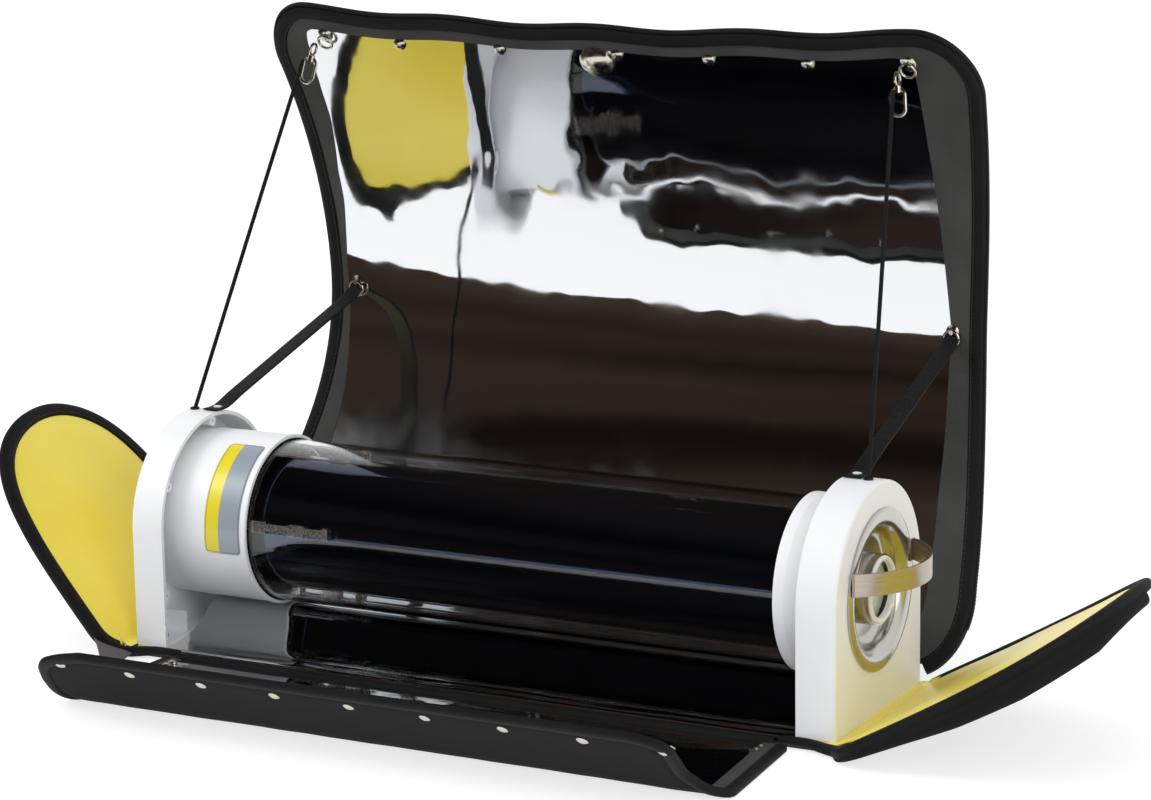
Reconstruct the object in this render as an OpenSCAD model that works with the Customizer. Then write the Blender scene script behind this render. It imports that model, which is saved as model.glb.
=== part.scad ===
// Portable solar cooker: an evacuated glass tube held between two moulded end
// brackets, inside a soft case whose panels unfold into mirrors.
// Millimetres. +X along the tube towards the handle, +Y to the back panel, +Z up.
// The origin is on the floor, under the middle of the base.

/* [Vacuum tube] */
// Outer diameter of the clear outer glass
glass_d = 125; // [118:1:126]
// Wall of both glasses
glass_wall = 3; // [2:0.5:3.5]
// Outer diameter of the coated inner glass
absorber_d = 102; // [98:1:104]
// Height of the tube's axis above the floor
axis_z = 100; // [99:0.5:104]

/* [End brackets] */
// Distance between the outer faces of the two brackets
bracket_span = 589.2; // [570:1:600]
// Thickness of the left bracket, along the tube
left_bracket_t = 27.6; // [24:0.5:30]
// Thickness of the right bracket, along the tube
right_bracket_t = 30.4; // [28:0.5:34]
// Radius of the bracket's round top
arch_r = 80.4; // [78:0.2:82]
// Wall of the moulded plastic
shell_wall = 3; // [2:0.5:4]
// Radius of a bracket's outer edge
edge_r = 2.4; // [1:0.1:2.8]
// Outer radius of the sleeve and the collar round the glass
sleeve_r = 65.5; // [65:0.1:68]
// Length of the left sleeve beyond the bracket
sleeve_reach = 66.5; // [50:0.5:80]
// Length of the right collar beyond the bracket
collar_reach = 24.5; // [15:0.5:30]

/* [Cooking tray] */
// Radius of the steel dish on the tray's front
dish_r = 59.4; // [58:0.2:62]
// Length of the trough behind the plug
trough_l = 400; // [300:5:420]
// Outer radius of the trough
trough_r = 45; // [42:0.5:46]
// How far the strap handle bows out
handle_bow = 33; // [26:1:36]
// Width of the strap handle
handle_w = 16.5; // [12:0.5:20]

/* [Case] */
// Depth of the base, front to back
base_depth = 168; // [164:1:172]
// Thickness of the padded base board
base_t = 7.7; // [6:0.1:9]
// Height of the top edge of the back panel
lid_top_z = 480; // [440:5:490]
// Half the width of the back panel at its waist
lid_half_w = 289; // [280:1:295]
// Length of the front flap's floor part
flap_floor_l = 107; // [90:1:110]
// Length of the front flap's raised lip
flap_lip_l = 88; // [70:1:95]
// Angle of the lip above the floor, in degrees
flap_lip_tilt = 39.8; // [30:0.2:45]
// Length of the left wing
left_wing_l = 213; // [190:1:225]
// Length of the right wing
right_wing_l = 226; // [190:1:230]
// Angle of the left wing above the floor, in degrees
left_wing_tilt = 50; // [40:1:55]
// Angle of the right wing above the floor, in degrees
right_wing_tilt = 29.4; // [29.4:0.1:32]
// Half the widest width of a wing
wing_half_w = 106; // [95:1:110]

/* [Cords and straps] */
// Diameter of a stay cord
cord_d = 3.2; // [2.5:0.1:3.6]
// Width of the webbing straps
strap_w = 14; // [10:1:14]

/* [Hidden] */

$fn = 96;

// Cut-outs pass their wall by this much
over = 1;

// Frame of the base
half_span = bracket_span / 2;
deck_z = base_t + 0.8;
glass_r = glass_d / 2;
absorber_r = absorber_d / 2;
left_inner_x = -half_span + left_bracket_t;
right_inner_x = half_span - right_bracket_t;
left_floor_x = -half_span + shell_wall;
right_floor_x = half_span - shell_wall;
arch_centre_z = deck_z + 90.2;
sleeve_wall = 1.8;

// Screw bosses, ribs and slots of the moulding
boss_r = 4;
boss_bore_r = 1.5;
boss_depth = 12;
rib_y = 42;
rib_t = 2;
rib_h = 18;
slot_zs = [14, 20];
screw_y = 62;

// Sticker on the sleeve: where it starts, its width and its two ends round the sleeve
label_x = -238;
label_w = 32;
label_from = -13;
label_to = 71;
label_t = 0.3;

// Tube along X: where the domes begin and where the mouth ends
outer_dome_x = -225;
inner_dome_x = -200;
mouth_x = 280;
bore_r = absorber_r - glass_wall;

// Hinge rolls of the case, each a round hem just outside the base board
hem_r = 4.5;
hem_gap = 0.5;
wing_axis_x = half_span + hem_gap + hem_r;
wing_axis_z = hem_r;
flap_axis_y = -base_depth / 2 - hem_gap - hem_r;
flap_axis_z = hem_r;
lid_axis_y = base_depth / 2 + hem_gap + hem_r;
lid_axis_z = 7;

// Back panel: a straight foot, a lower arc and a flatter upper arc,
// both arcs upright where they meet
waist_z = deck_z + 235;
low_arc_r = 240;
low_arc_y = -19;
high_arc_r = 408;
high_arc_y = low_arc_y + low_arc_r - high_arc_r;
foot_angle = -46.8;
foot_top = [low_arc_y + low_arc_r * cos(foot_angle), waist_z + low_arc_r * sin(foot_angle)];
panel_back = -3;
panel_front = 2;
skin_front = 2.8;
binding_w = 12.5;
binding_back = -5.2;
binding_front = 4.6;
border_side = 40;
border_top = 20;
lid_corner_r = 45;
// The panel widens below and above its waist, and its bottom corners are round
lid_spread_low = 23;
lid_low_h = 175;
lid_spread_high = 14;
lid_high_h = 180;
lid_foot_w = 48;
lid_foot_h = 50;
lid_foot_z = 62;
skin_start_z = 16;
zip_proud = 1.5;
zip_start_z = 40;
lid_side_top = lid_top_z - lid_corner_r - 6;

// Mirror under the tube: two hollows that meet in a ridge
hollow_r = 78;
hollow_y = 68;
ridge_top_z = 32.5;
film_t = 0.7;
// The ridge's round top runs smoothly into both hollows
hollow_gap = hollow_r - (ridge_top_z - deck_z);
ridge_r = (pow(hollow_y, 2) + pow(hollow_gap, 2) - pow(hollow_r, 2)) / (2 * (hollow_r - hollow_gap));

// Tray front
dish_rim_x = half_span + 0.3;
dish_floor_x = half_span - 12.5;
dish_t = 1.2;
dish_crest_x = dish_rim_x + 2.4;
dish_crest_r = dish_r - 4.9;
// The flange and the bend below it are arcs that meet on one line
flange_r = 12;
bend_r = 8;
bend_drop = dish_crest_x - flange_r - dish_floor_x - bend_r;
dish_bend_r = dish_crest_r - sqrt((flange_r + bend_r) ^ 2 - bend_drop ^ 2);
dish_turn = [dish_crest_r - dish_bend_r, bend_drop];
knob_r = 26;
knob_x = half_span + 2.3;
knob_floor_x = knob_x - 9;
plug_face_x = dish_floor_x - dish_t;
plug_back_x = plug_face_x - 31;
trough_x = plug_back_x - trough_l;
handle_z = axis_z + 17;
handle_half = 56.9;
handle_t = 1.5;
handle_foot_x = dish_crest_x;
handle_r = (handle_half * handle_half + handle_bow * handle_bow) / (2 * handle_bow);
handle_centre_x = handle_foot_x + handle_bow - handle_r;

// Front flap
flap_t = 5;
flap_crease_y = flap_axis_y - flap_floor_l;
flap_crease_z = flap_t / 2;
flap_crease_half = 274;
flap_foot_half = 262;
flap_top_half = 264;
flap_corner_r = 26;
flap_binding_w = 9;
flap_border_w = 18;
flap_skin_t = 0.8;
rivet_count = 9;
rivet_pitch = 61;
rivet_first_x = -244;
rivet_s = 70;

// Wings
wing_root = 5;
wing_binding_w = 12.5;
wing_front = 1.05;
wing_back = 0.87;
wing_flare = 25;
wing_root_half = 84;

// Hardware on the back panel: where it sits across and up the panel
corner_ring_x = 251;
corner_ring_z = 458;
side_ring_x = 264;
side_ring_z = 245;
snap_z = 453;
snap_xs = [-184, -94, 9, 87, 169];
button_x = -10;
button_z = 447;
button_r = 14;
hook_x = 251;
hook_y = 141;
hook_z = 448;

// Cords and straps: routes chosen by hand, from the bracket's top to the hook
cord_route_left = [[-288, 4, 179], [-272, 68, 312], [-256, 130, 441]];
cord_route_right = [[284, 4, 179], [267, 68, 312], [250, 130, 441]];
strap_foot = [272, 12];
strap_t = 1.6;
strap_tab = 5.6;
cord_sides = 8;
cord_rings = 36;

white_plastic = [0.93, 0.94, 0.95];
case_black = [0.07, 0.07, 0.08];
border_grey = [0.23, 0.23, 0.22];
lining_yellow = [0.93, 0.85, 0.29];
mirror_silver = [0.78, 0.80, 0.82];
steel = [0.66, 0.65, 0.63];
night_glass = [0.03, 0.05, 0.09];
clear_glass = [0.6, 0.7, 0.8, 0.35];

// Turns a profile of (radius, distance along X) round the tube's axis.
module around_tube() {
    translate([0, 0, axis_z]) rotate([0, 90, 0]) rotate_extrude() children();
}

// Extrudes a (Y, Z) profile along X between two places.
module along_x(x0, x1) {
    translate([x0, 0, 0]) rotate([90, 0, 90]) linear_extrude(x1 - x0) children();
}

// Arch outline of a bracket: half a circle on a rectangle, drawn in all round.
module arch_outline(inset, foot_inset) {
    translate([0, arch_centre_z]) circle(arch_r - inset);
    translate([-arch_r + inset, deck_z + foot_inset])
        square([2 * (arch_r - inset), arch_centre_z - deck_z - foot_inset]);
}

// Solid arch from its outer face at x 0 to its open side at x t, the face's edge rounded.
module rounded_arch(t) {
    along_x(edge_r, t) arch_outline(0, 0);
    along_x(0, edge_r + over) arch_outline(edge_r, 0);
    for (s = [-1, 1])
        translate([edge_r, s * (arch_r - edge_r), deck_z])
            cylinder(h = arch_centre_z - deck_z, r = edge_r);
    translate([edge_r, 0, arch_centre_z]) rotate([0, 90, 0]) rotate([0, 0, 90])
        rotate_extrude(angle = 180) translate([arch_r - edge_r, 0]) circle(edge_r);
}

// Moulded shell of a bracket: the arch, hollowed from its open side.
module bracket_shell(t) {
    difference() {
        rounded_arch(t);
        along_x(shell_wall, t + over) arch_outline(shell_wall, shell_wall);
    }
}

// One glass wall with a round closed end at the left.
module glass_profile(r, dome_x, end_x) {
    translate([r - glass_wall, dome_x]) square([glass_wall, end_x - dome_x]);
    intersection() {
        translate([0, dome_x]) difference() {
            circle(r);
            circle(r - glass_wall);
        }
        translate([0, dome_x - r]) square([r, r]);
    }
}

module case_base() {
    color(case_black)
        linear_extrude(base_t)
            difference() {
                translate([-half_span, -base_depth / 2]) square([bracket_span, base_depth]);
                for (sx = [-1, 1], sy = [-1, 1])
                    translate([sx * half_span, sy * base_depth / 2]) corner_cut(sx, sy, 6);
            }
}

// The sliver that rounds a square corner off to radius r.
module corner_cut(sx, sy, r) {
    scale([sx, sy]) translate([-r, -r]) difference() {
        square(r + over);
        circle(r);
    }
}

module base_lining() {
    color(lining_yellow)
        translate([-half_span + 2, -base_depth / 2 + 1.5, base_t])
            cube([bracket_span - 4, base_depth - 3, deck_z - base_t]);
}

// Section under the mirror: a block with two round hollows and a round ridge.
module saddle_outline(lower) {
    top_half = hollow_y * (ridge_r - lower) / (hollow_r + ridge_r);
    difference() {
        translate([-base_depth / 2, deck_z]) square([base_depth, ridge_top_z - deck_z + over]);
        for (s = [-1, 1])
            translate([s * hollow_y, deck_z + hollow_r]) circle(hollow_r + lower, $fn = 180);
        difference() {
            translate([-top_half, deck_z]) square([2 * top_half, ridge_top_z]);
            translate([0, ridge_top_z - ridge_r]) circle(ridge_r - lower, $fn = 180);
        }
    }
}

module reflector_saddle() {
    color(border_grey)
        along_x(left_inner_x + 1, right_inner_x - 1)
            intersection() {
                saddle_outline(film_t);
                translate([-hollow_y, deck_z]) square([2 * hollow_y, ridge_top_z]);
            }
}

module base_mirror() {
    color(mirror_silver)
        along_x(left_inner_x + 0.2, right_inner_x - 0.2)
            difference() {
                union() {
                    translate([0, film_t]) saddle_outline(0);
                    translate([-base_depth / 2, deck_z]) square([base_depth, film_t]);
                }
                saddle_outline(film_t);
            }
}

// Screw boss standing on the floor of a bracket's shell.
module boss(place, x0, x1) {
    translate([x0, place[0], place[1]]) rotate([0, 90, 0]) cylinder(h = x1 - x0, r = boss_r);
}

module boss_hole(place, x0) {
    translate([x0, place[0], place[1]]) rotate([0, 90, 0]) cylinder(h = boss_depth, r = boss_bore_r);
}

// (Y, Z) of the bosses: three round the arch and one low on each side.
function boss_places() = let (out = arch_r - shell_wall - boss_r) [
    for (a = [28, 90, 152]) [out * cos(a), arch_centre_z + out * sin(a)],
    for (s = [-1, 1]) [s * out, deck_z + 40]
];

// Hole in the arch's top that a stay cord comes up through.
module cord_hole(route) {
    translate([route[0][0], route[0][1], arch_centre_z]) cylinder(h = arch_r + over, r = cord_d / 2 + 0.7);
}

module left_bracket() {
    color(white_plastic)
        difference() {
            union() {
                translate([-half_span, 0, 0]) bracket_shell(left_bracket_t);
                for (p = boss_places()) boss(p, left_floor_x - over, left_inner_x - 2);
                for (s = [-1, 1])
                    translate([left_floor_x - over, s * rib_y - rib_t / 2, deck_z + over])
                        cube([left_bracket_t - 8, rib_t, rib_h]);
            }
            for (p = boss_places()) boss_hole(p, left_inner_x - boss_depth);
            for (z = slot_zs)
                translate([left_inner_x - 4, -arch_r + 0.8, deck_z + z]) cube([4 + over, shell_wall, 3.6]);
            cord_hole(cord_route_left);
        }
}

module right_bracket() {
    color(white_plastic)
        difference() {
            union() {
                translate([half_span, 0, 0]) mirror([1, 0, 0]) bracket_shell(right_bracket_t);
                for (p = boss_places()) boss(p, right_inner_x + 2, right_floor_x + over);
            }
            for (p = boss_places()) boss_hole(p, right_inner_x);
            translate([right_floor_x - over, 0, axis_z]) rotate([0, 90, 0])
                cylinder(h = shell_wall + 2 * over, r = dish_r - 1.8);
            cord_hole(cord_route_right);
        }
}

module left_sleeve() {
    tip = left_inner_x + sleeve_reach;
    color(white_plastic)
        around_tube() {
            translate([sleeve_r - sleeve_wall, left_floor_x])
                square([sleeve_wall, tip - left_floor_x]);
            translate([sleeve_r - sleeve_wall, tip - 4]) square([sleeve_wall + 0.8, 3.2]);
            translate([sleeve_r - 0.2, tip - 1]) circle(1);
        }
}

module right_collar() {
    tip = right_inner_x - collar_reach;
    color(white_plastic)
        around_tube() {
            difference() {
                translate([glass_r + 0.1, tip]) square([sleeve_r - glass_r - 0.1, right_floor_x - tip]);
                translate([sleeve_r + 38.6, tip + 19]) circle(40);
            }
            translate([sleeve_r - 1.4, tip + 1.4]) circle(1.45);
        }
}

module sleeve_label() {
    color(lining_yellow)
        translate([0, 0, axis_z]) rotate([0, 90, 0])
            translate([0, 0, label_x])
                linear_extrude(label_w)
                    intersection() {
                        difference() {
                            circle(sleeve_r + label_t);
                            circle(sleeve_r);
                        }
                        polygon(concat([[0, 0]], [
                            for (a = [label_from, (label_from + label_to) / 2, label_to])
                                2 * sleeve_r * [-sin(a), -cos(a)]
                        ]));
                    }
}

module bracket_screws() {
    color(steel)
        for (sx = [-1, 1], sy = [-1, 1])
            translate([sx * (half_span - left_bracket_t / 2), sy * screw_y, deck_z + shell_wall]) cylinder(h = 2.4, r = 3.6);
}

function arch_top(y) = arch_centre_z + sqrt(arch_r * arch_r - y * y);

module cord_eyelets() {
    color(case_black)
        for (p = [cord_route_left[0], cord_route_right[0]])
            translate([p[0], p[1], arch_centre_z + arch_r]) difference() {
                cylinder(h = 1.4, r = 3.6);
                translate([0, 0, -over]) cylinder(h = 5, r = cord_d / 2 + 0.9);
            }
}

module strap_rivets() {
    color(white_plastic)
        for (s = [-1, 1])
            translate([s * strap_foot[0], strap_foot[1], arch_top(strap_foot[1])])
                rotate([-atan(strap_foot[1] / arch_r), 0, 0])
                    intersection() {
                        translate([0, 0, strap_t + 0.05]) cylinder(h = 2, r = 3.4);
                        translate([0, 0, -6]) sphere(9.6);
                    }
}

module outer_glass() {
    color(clear_glass) around_tube() glass_profile(glass_r, outer_dome_x, mouth_x);
}

// The inner glass turns over at the mouth and is fused to the outer one there.
module inner_glass() {
    lip_r = (glass_r - bore_r) / 2;
    color(night_glass)
        around_tube() {
            glass_profile(absorber_r, inner_dome_x, mouth_x);
            translate([bore_r + lip_r, mouth_x]) intersection() {
                difference() {
                    circle(lip_r);
                    circle(lip_r - glass_wall);
                }
                translate([-lip_r, 0]) square([2 * lip_r, lip_r]);
            }
        }
}

// Spring steel: a ring round the inner dome and four legs along the vacuum gap.
module support_spring() {
    gap = (glass_r - glass_wall) - absorber_r;
    color(steel)
        translate([0, 0, axis_z]) rotate([0, 90, 0]) {
            translate([0, 0, inner_dome_x - 6]) difference() {
                cylinder(h = 6, r = glass_r - glass_wall);
                translate([0, 0, -over]) cylinder(h = 6 + 2 * over, r = absorber_r + gap - 1);
            }
            for (a = [0:90:270]) rotate([0, 0, a - 8]) translate([0, 0, inner_dome_x]) {
                for (lug = [[0, 14], [34, 14], [64, 5]])
                    translate([-4.5, -glass_r + glass_wall + 0.4, lug[0]]) cube([9, gap - 1.6, lug[1]]);
                translate([-3, -glass_r + glass_wall + 1.2, 0]) cube([6, 0.8, 69]);
            }
        }
}

// Silicone cup between the glass dome and the bracket's floor.
module tail_cushion() {
    color(border_grey)
        around_tube()
            difference() {
                translate([0, left_floor_x]) square([40, 20]);
                translate([0, outer_dome_x]) circle(glass_r);
            }
}

module sleeve_seal() {
    color(case_black)
        around_tube()
            translate([glass_r, left_inner_x + sleeve_reach - 9])
                square([sleeve_r - sleeve_wall - glass_r, 8]);
}

module mouth_gasket() {
    lip_r = (glass_r - bore_r) / 2;
    color(border_grey)
        around_tube()
            difference() {
                translate([dish_r - 1.6, mouth_x + 2]) square([4, right_floor_x - mouth_x - 2]);
                translate([bore_r + lip_r, mouth_x]) circle(lip_r);
            }
}

module tray_trough() {
    color(steel)
        union() {
            difference() {
                translate([trough_x, 0, axis_z]) rotate([0, 90, 0]) cylinder(h = trough_l, r = trough_r);
                translate([trough_x + 1, 0, axis_z]) rotate([0, 90, 0])
                    cylinder(h = trough_l - 2, r = trough_r - 1);
                translate([trough_x - over, -trough_r - over, axis_z])
                    cube([trough_l + 2 * over, 2 * trough_r + 2 * over, trough_r + over]);
            }
            for (s = [-1, 1])
                translate([trough_x, s * (trough_r - 0.4), axis_z]) rotate([0, 90, 0])
                    cylinder(h = trough_l, r = 1.3);
        }
}

module tray_plug() {
    color(white_plastic)
        around_tube()
            difference() {
                translate([0, plug_back_x]) square([bore_r - 1.5, plug_face_x - plug_back_x]);
                for (x = [6, 16]) translate([bore_r - 2.5, plug_back_x + x]) square([3, 4]);
            }
}

module plug_seals() {
    color(border_grey)
        around_tube()
            for (x = [6, 16]) {
                translate([bore_r - 2.5, plug_back_x + x]) square([1.2, 4]);
                translate([bore_r - 1.4, plug_back_x + x + 2]) circle(1.1);
            }
}

// Pressed steel dish: a domed flange that turns through an S into a flat floor.
module tray_dish() {
    color(steel)
        around_tube()
            union() {
                translate([0, dish_floor_x - dish_t]) square([dish_bend_r, dish_t]);
                intersection() {
                    translate([dish_bend_r, dish_floor_x + bend_r]) difference() {
                        circle(bend_r + dish_t);
                        circle(bend_r);
                    }
                    polygon([
                        [dish_bend_r, dish_floor_x + bend_r],
                        [dish_bend_r, dish_floor_x - 2 * dish_t],
                        [dish_bend_r + 2 * dish_turn[0], dish_floor_x - 2 * dish_t],
                        [dish_bend_r + 2 * dish_turn[0], dish_floor_x + bend_r + 2 * dish_turn[1]]
                    ]);
                }
                intersection() {
                    translate([dish_crest_r, dish_crest_x - flange_r]) difference() {
                        circle(flange_r);
                        circle(flange_r - dish_t);
                    }
                    polygon([
                        [dish_crest_r, dish_crest_x - flange_r],
                        [dish_crest_r - 2 * dish_turn[0], dish_crest_x - flange_r - 2 * dish_turn[1]],
                        [dish_crest_r - 2 * dish_turn[0], dish_crest_x + dish_t],
                        [dish_r, dish_crest_x + dish_t],
                        [dish_r, dish_rim_x],
                        [dish_crest_r, dish_rim_x]
                    ]);
                }
            }
}

module knob_housing() {
    color(steel)
        around_tube() {
            translate([knob_r - 1.2, dish_floor_x]) square([1.2, knob_x - dish_floor_x - 0.6]);
            translate([0, dish_floor_x]) square([knob_r - 1.2, knob_floor_x - dish_floor_x]);
        }
}

module knob_ring() {
    color(white_plastic)
        around_tube() {
            translate([knob_r - 5.2, knob_x - 3.4]) square([4, 3.2]);
            translate([knob_r - 3.2, knob_x - 0.4]) circle(1.8);
        }
}

module knob_lens() {
    color(clear_glass)
        around_tube() translate([0, knob_floor_x]) square([knob_r - 5.2, 2.2]);
}

// Steel strap bent to an arc in plan, its two feet lying on the dish's rim.
module strap_handle() {
    color(steel)
        translate([0, 0, handle_z - handle_w / 2])
            linear_extrude(handle_w) {
                intersection() {
                    translate([handle_centre_x, 0]) difference() {
                        circle(handle_r);
                        circle(handle_r - handle_t);
                    }
                    translate([handle_foot_x, -handle_half]) square([handle_bow + over, 2 * handle_half]);
                }
                for (s = [-1, 1])
                    translate([handle_foot_x, s * (handle_half - 3.5) - 3.5]) square([handle_t, 7]);
            }
}

// Wedge with its point at a centre, between two angles in the (Y, Z) plane.
module wedge(y, z, from, to) {
    reach = 600;
    translate([y, z]) polygon([
        [0, 0],
        reach * [cos(from), sin(from)],
        1.2 * reach * [cos((from + to) / 2), sin((from + to) / 2)],
        reach * [cos(to), sin(to)]
    ]);
}

module ring_part(y, r, back, front, from, to) {
    intersection() {
        translate([y, waist_z]) difference() {
            circle(r - back, $fn = 240);
            circle(r - front, $fn = 240);
        }
        wedge(y, waist_z, from, to);
    }
}

// Section of the back panel between two depths: back is behind, front towards the tube.
module lid_section(back, front) {
    foot = [lid_axis_y, lid_axis_z];
    along = foot_top - foot;
    unit = along / norm(along);
    face = [-unit[1], unit[0]];
    edge = [-cos(foot_angle), -sin(foot_angle)];
    polygon([foot + back * face, foot + front * face, foot_top + front * edge, foot_top + back * edge]);
    ring_part(low_arc_y, low_arc_r, back, front, foot_angle, 0);
    ring_part(high_arc_y, high_arc_r, back, front, 0, 40);
}

function lid_half(z) = z < waist_z
    ? lid_half_w + lid_spread_low * pow((waist_z - z) / lid_low_h, 2)
    : lid_half_w + lid_spread_high * pow((z - waist_z) / lid_high_h, 1.5);

// Right edge of the back panel's outline, drawn in at the sides and the top.
function lid_edge(side, top) =
    let (r = max(lid_corner_r - side, 14), high = lid_top_z - top - r)
    concat(
        [for (a = [90:-15:0]) let (z = lid_foot_z - lid_foot_h * sin(a))
            [lid_half(z) - side - lid_foot_w * (1 - cos(a)), z]],
        [for (k = [1:8]) let (z = lid_foot_z + (high - lid_foot_z) * k / 8) [lid_half(z) - side, z]],
        [for (a = [15:15:90]) [lid_half(high) - side - r + r * cos(a), high + r * sin(a)]]
    );

function mirrored(points) = [for (k = [len(points) - 1:-1:0]) [-points[k][0], points[k][1]]];

module lid_outline(side, top) {
    right = lid_edge(side, top);
    polygon(concat([[right[0][0], 4]], right, mirrored(right), [[-right[0][0], 4]]));
}

// Block that cuts the back panel's layers to an outline.
module lid_cutter(side, top) {
    translate([0, 400, 0]) rotate([90, 0, 0]) linear_extrude(400) lid_outline(side, top);
}

// Clears the layers below a height, beside the hinge.
module below(z) {
    translate([-330, 60, 0]) cube([660, 80, z]);
}

// A layer of the back panel: its section cut to its outline.
module lid_layer(back, front, side, top) {
    intersection() {
        along_x(-330, 330) lid_section(back, front);
        lid_cutter(side, top);
    }
}

module lid_panel() {
    color(case_black) {
        lid_layer(panel_back, panel_front, binding_w, binding_w);
        translate([-250, lid_axis_y, lid_axis_z]) rotate([0, 90, 0]) cylinder(h = 500, r = hem_r);
    }
}

module lid_border() {
    color(border_grey)
        difference() {
            lid_layer(panel_front, skin_front, binding_w, binding_w);
            lid_cutter(border_side, border_top);
            below(skin_start_z);
        }
}

module lid_mirror() {
    color(mirror_silver)
        difference() {
            lid_layer(panel_front, skin_front, border_side, border_top);
            below(skin_start_z);
        }
}

// The binding all round the back panel's edge.
module bound_edge() {
    difference() {
        lid_layer(binding_back, binding_front, 0, 0);
        lid_cutter(binding_w, binding_w);
        below(skin_start_z);
    }
}

// It is sewn on in three lengths: one over the top, and one down each side.
module lid_binding() {
    color(case_black) intersection() {
        bound_edge();
        translate([-330, 0, lid_side_top]) cube([660, 400, 400]);
    }
}

module lid_binding_left() {
    color(case_black) intersection() {
        bound_edge();
        translate([-330, 0, 0]) cube([330, 400, lid_side_top]);
    }
}

module lid_binding_right() {
    color(case_black) intersection() {
        bound_edge();
        cube([330, 400, lid_side_top]);
    }
}

// Zip track standing proud of the middle of the binding's outer edge.
module lid_zip() {
    color(steel)
        difference() {
            lid_layer(-1.4, 1.4, -zip_proud, -zip_proud);
            lid_cutter(0, 0);
            below(zip_start_z);
        }
}

// Depth of the back panel's mirror face at a height, and its lean there.
function lid_r(z) = z < waist_z ? low_arc_r : high_arc_r;
function lid_y(z) = z < waist_z ? low_arc_y : high_arc_y;
function lid_face_y(z) = lid_y(z) + sqrt(pow(lid_r(z) - skin_front, 2) - pow(z - waist_z, 2));
function lid_lean(z) = asin((z - waist_z) / lid_r(z));

// Puts a disc of radius r on the hollow mirror face, its Z axis pointing out of it.
module on_lid(x, z, r) {
    translate([x, lid_face_y(z), z]) rotate([90 + lid_lean(z), 0, 0])
        translate([0, 0, r * r / (2 * lid_r(z)) + 0.05]) children();
}

module snap_cap(r, h) {
    intersection() {
        cylinder(h = h, r = r);
        translate([0, 0, h - 1.6 * r]) sphere(1.6 * r);
    }
}

module lid_snaps() {
    color(steel) for (x = snap_xs) on_lid(x, snap_z, 5.2) difference() {
        snap_cap(5.2, 2.6);
        translate([0, 0, 1.2]) cylinder(h = 3, r = 2.2);
    }
}

module lid_button() {
    color(steel) on_lid(button_x, button_z, button_r) snap_cap(button_r, 7);
}

module wire_ring(r, wire) {
    rotate_extrude() translate([r, 0]) circle(wire, $fn = 16);
}

module corner_rings() {
    color(steel) for (s = [-1, 1]) on_lid(s * corner_ring_x, corner_ring_z, 6.5) {
        snap_cap(6.5, 2.2);
        translate([0, -5, 3.6]) wire_ring(6, 1.2);
        translate([0, 0, 1.6]) cylinder(h = 3.6, r = 2);
    }
}

// Swivel hook hanging from a corner ring: eye, barrel, body and gate.
module snap_hook() {
    rotate([90, 0, 90]) wire_ring(4.6, 1.1);
    translate([0, 0, -10]) cylinder(h = 5, r = 2.6);
    for (side = [-1, 1]) translate([side * 5.5, 0, -22]) cylinder(h = 9.5, r = 1.2);
    for (up = [[-22, 0], [-12.5, 1]]) translate([0, 0, up[0]]) rotate([90, 0, 0])
        intersection() {
            wire_ring(5.5, 1.2);
            translate([-8, up[1] == 1 ? 0 : -8, -4]) cube([16, 8, 8]);
        }
}

module left_snap_hook() {
    color(steel) translate([-hook_x - 2, hook_y, hook_z]) rotate([-8, 12, 0]) snap_hook();
}

module right_snap_hook() {
    color(steel) translate([hook_x - 2, hook_y, hook_z]) rotate([-8, -6, 0]) snap_hook();
}

module side_rings() {
    color(steel) for (s = [-1, 1]) on_lid(s * side_ring_x, side_ring_z, 5.5) {
        snap_cap(5.5, 2);
        translate([0, -5, 3.4]) wire_ring(6, 1.2);
        translate([0, 0, 1.4]) cylinder(h = 3.2, r = 1.8);
    }
}

// Half the flap's width at a distance in front of its hinge.
function flap_half(d) = flap_foot_half + (flap_crease_half - flap_foot_half) * d / flap_floor_l;

module flap_floor_outline(inset) {
    polygon([for (p = [[1, 0], [1, flap_floor_l], [-1, flap_floor_l], [-1, 0]])
        [p[0] * (flap_half(p[1]) - inset), flap_axis_y - p[1]]]);
}

module flap_lip_outline(inset) {
    r = flap_corner_r - inset * 0.6;
    top = flap_lip_l - inset;
    half = flap_top_half - inset;
    right = concat(
        [[flap_crease_half - inset, 0]],
        [for (a = [0:15:90]) [half - r + r * cos(a), top - r + r * sin(a)]]
    );
    polygon(concat(right, mirrored(right)));
}

// Stands its children on the lip: X across, Y up the lip, Z out of its mirror face.
module on_lip() {
    translate([0, flap_crease_y, flap_crease_z]) rotate([180 - flap_lip_tilt, 0, 0])
        mirror([0, 0, 1]) children();
}

module flap_floor_panel() {
    color(case_black) {
        linear_extrude(flap_t) intersection() {
            flap_floor_outline(flap_binding_w);
            translate([-300, flap_crease_y + 2.5]) square([600, flap_floor_l - 2.5]);
        }
        translate([-250, flap_axis_y, flap_axis_z]) rotate([0, 90, 0]) cylinder(h = 500, r = hem_r);
    }
}

module flap_lip_panel() {
    color(case_black) {
        on_lip() translate([0, 0, -flap_t / 2]) linear_extrude(flap_t) flap_lip_outline(flap_binding_w);
        translate([-flap_crease_half + flap_binding_w, flap_crease_y, flap_crease_z]) rotate([0, 90, 0])
            cylinder(h = 2 * (flap_crease_half - flap_binding_w), r = flap_t / 2);
    }
}

module flap_skin(inset) {
    translate([0, 0, flap_t]) linear_extrude(flap_skin_t) intersection() {
        flap_floor_outline(inset);
        translate([-300, flap_crease_y + 1]) square([600, flap_floor_l - 6]);
    }
    on_lip() translate([0, 0, flap_t / 2]) linear_extrude(flap_skin_t) intersection() {
        flap_lip_outline(inset);
        translate([-300, 2.4]) square([600, 100]);
    }
}

module flap_mirror() {
    color(mirror_silver) flap_skin(flap_border_w);
}

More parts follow.
